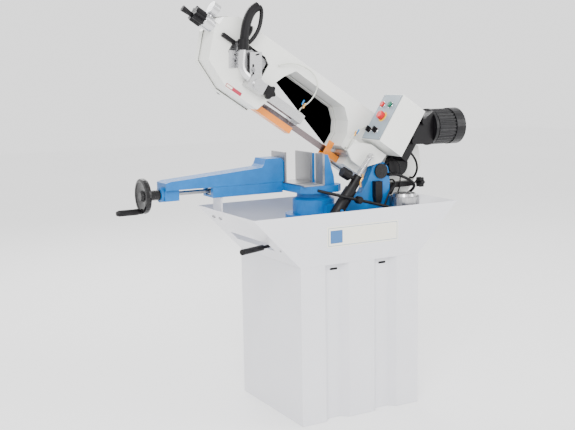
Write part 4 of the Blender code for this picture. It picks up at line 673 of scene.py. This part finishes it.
# ---- stage ------------------------------------------------------------------------------
def make_camera():
    """The camera, looking down a little at the saw's left front."""
    yaw, pitch, roll = (math.radians(a) for a in (29.19, 8.75, -0.913))
    ahead = np.array((math.sin(yaw) * math.cos(pitch), math.cos(yaw) * math.cos(pitch),
                      -math.sin(pitch)))
    right = np.array((math.cos(yaw), -math.sin(yaw), 0.0))
    up = np.cross(right, ahead)
    side = math.cos(roll) * right + math.sin(roll) * up
    top = -math.sin(roll) * right + math.cos(roll) * up
    lens = bpy.data.cameras.new("view")
    lens.lens = 59.12
    lens.sensor_width = 36.0
    lens.clip_end = 60.0
    camera = bpy.data.objects.new("view", lens)
    bpy.context.scene.collection.objects.link(camera)
    turn = np.eye(4)
    turn[:3, 0], turn[:3, 1], turn[:3, 2] = side, top, -ahead
    turn[:3, 3] = (-2.1287, -3.4544, 1.4444)
    camera.matrix_world = Matrix(turn.tolist())
    bpy.context.scene.camera = camera


def area_light(name, place, target, size, power):
    lamp = bpy.data.lights.new(name, "AREA")
    lamp.shape = "RECTANGLE"
    lamp.size, lamp.size_y = size
    lamp.energy = power
    light = bpy.data.objects.new(name, lamp)
    bpy.context.scene.collection.objects.link(light)
    light.location = place
    light.rotation_euler = (Vector(target) - Vector(place)).to_track_quat("-Z", "Y").to_euler()


def make_stage(finishes, stage):
    """Pale floor, even white surroundings and soft lights."""
    span = stage.floor_span
    t = np.linspace(-span, span, 2)
    floor = np.stack(np.meshgrid(t, t, indexing="ij") + [np.full((2, 2), -0.0005)], axis=-1)
    mesh = bpy.data.meshes.new("floor")
    mesh.from_pydata(floor.reshape(-1, 3).tolist(), [], [(0, 2, 3, 1)])
    made, tree, shader = shader_of("floor", tuple(finishes.floor), 0.75)
    varied(tree, shader, tuple(finishes.floor), 0.6, 0.01)
    mesh.materials.append(made)
    piece = bpy.data.objects.new("floor", mesh)
    bpy.context.scene.collection.objects.link(piece)
    world = bpy.data.worlds.new("surroundings")
    world.use_nodes = True
    background = world.node_tree.nodes["Background"]
    background.inputs["Color"].default_value = (1.0, 1.0, 1.0, 1.0)
    background.inputs["Strength"].default_value = stage.surroundings
    bpy.context.scene.world = world
    area_light("key", (-2.6, -3.6, 3.8), (0, 0, 1.0), (2.4, 2.4), stage.key_power)
    area_light("fill", (3.2, -3.0, 2.4), (0, 0, 0.9), (2.0, 2.6), stage.key_power * 0.35)
    area_light("back", (0.5, 3.6, 3.4), (0, 0, 1.0), (3.0, 1.6), stage.key_power * 0.45)


# ---- settings ---------------------------------------------------------------------------
def colour_property(name, description, default):
    return bpy.props.FloatVectorProperty(name=name, description=description, size=3,
                                         subtype="COLOR", min=0.0, max=1.0, default=default)


class BANDSAW_PG_finishes(bpy.types.PropertyGroup):
    base: colour_property("Base", "Paint of the cabinet and the tray", (0.70, 0.70, 0.735))
    bow: colour_property("Bow", "Paint of the bow, its cover and the control box",
                         (0.76, 0.765, 0.73))
    casting: colour_property("Castings", "Paint of the table, the vice and the arm",
                             (0.0, 0.130, 0.400))
    guard: colour_property("Guards", "Paint of the blade guards", (0.78, 0.22, 0.004))
    panel: colour_property("Panel", "Face of the control box", (0.25, 0.31, 0.36))
    floor: colour_property("Floor", "Floor under the saw", (0.96, 0.96, 0.96))


class BANDSAW_PG_stage(bpy.types.PropertyGroup):
    floor_span: bpy.props.FloatProperty(name="Floor", description="Half the floor's width",
                                        default=14.0, min=2.0, unit="LENGTH")
    surroundings: bpy.props.FloatProperty(name="Surroundings", description="Strength of the sky",
                                          default=1.75, min=0.0)
    key_power: bpy.props.FloatProperty(name="Key light", description="Power of the key light",
                                       default=230.0, min=0.0, subtype="POWER")


def step_class(idname, label, doc, work):
    """An operator that does one piece of the work."""
    def execute(self, context):
        work(context)
        return {"FINISHED"}
    return type("BANDSAW_OT_" + idname, (bpy.types.Operator,), {
        "bl_idname": "bandsaw." + idname, "bl_label": label, "__doc__": doc, "execute": execute})


STEPS = [
    ("camera", "Camera", "Sets the camera", lambda c: make_camera()),
    ("cords", "Cables and hoses", "Makes the cables and the hoses", lambda c: make_cords()),
    ("finishes", "Finishes", "Gives the saw's pieces their finishes", lambda c: dress_nodes()),
    ("plates", "Plates", "Makes the clamp plates on the bow", lambda c: make_cover_plates()),
    ("cover", "Rear cover", "Makes the rear cover", lambda c: make_rear_cover()),
    ("labels", "Labels", "Makes the plain labels", lambda c: (make_labels(), make_name_plate())),
    ("taps", "Taps", "Makes the coolant taps", lambda c: make_valves()),
    ("spring", "Spring", "Makes the return spring", lambda c: make_spring()),
    ("controls", "Controls", "Makes the rings of the controls", lambda c: make_controls()),
    ("motor", "Motor", "Makes the motor's fins", lambda c: make_motor_fins()),
    ("base", "Base fittings", "Makes the bolts of the base", lambda c: make_base_fittings()),
    ("stage", "Stage", "Makes the floor and the lights",
     lambda c: make_stage(c.scene.bandsaw_finishes, c.scene.bandsaw_stage)),
]
OPERATORS = [step_class(*step) for step in STEPS]


class BANDSAW_PT_panel(bpy.types.Panel):
    bl_label = "Band saw"
    bl_idname = "BANDSAW_PT_panel"
    bl_space_type = "VIEW_3D"
    bl_region_type = "UI"
    bl_category = "Band saw"

    def draw(self, context):
        for group in (context.scene.bandsaw_finishes, context.scene.bandsaw_stage):
            for name in group.bl_rna.properties.keys():
                if name not in ("rna_type", "name"):
                    self.layout.prop(group, name)
        for operator in OPERATORS:
            self.layout.operator(operator.bl_idname)


CLASSES = [BANDSAW_PG_finishes, BANDSAW_PG_stage, *OPERATORS, BANDSAW_PT_panel]


def register():
    for cls in CLASSES:
        bpy.utils.register_class(cls)
    bpy.types.Scene.bandsaw_finishes = bpy.props.PointerProperty(type=BANDSAW_PG_finishes)
    bpy.types.Scene.bandsaw_stage = bpy.props.PointerProperty(type=BANDSAW_PG_stage)


def unregister():
    del bpy.types.Scene.bandsaw_stage
    del bpy.types.Scene.bandsaw_finishes
    for cls in reversed(CLASSES):
        bpy.utils.unregister_class(cls)


def main():
    register()
    for name, *_ in STEPS:
        getattr(bpy.ops.bandsaw, name)()


if __name__ == "__main__":
    main()
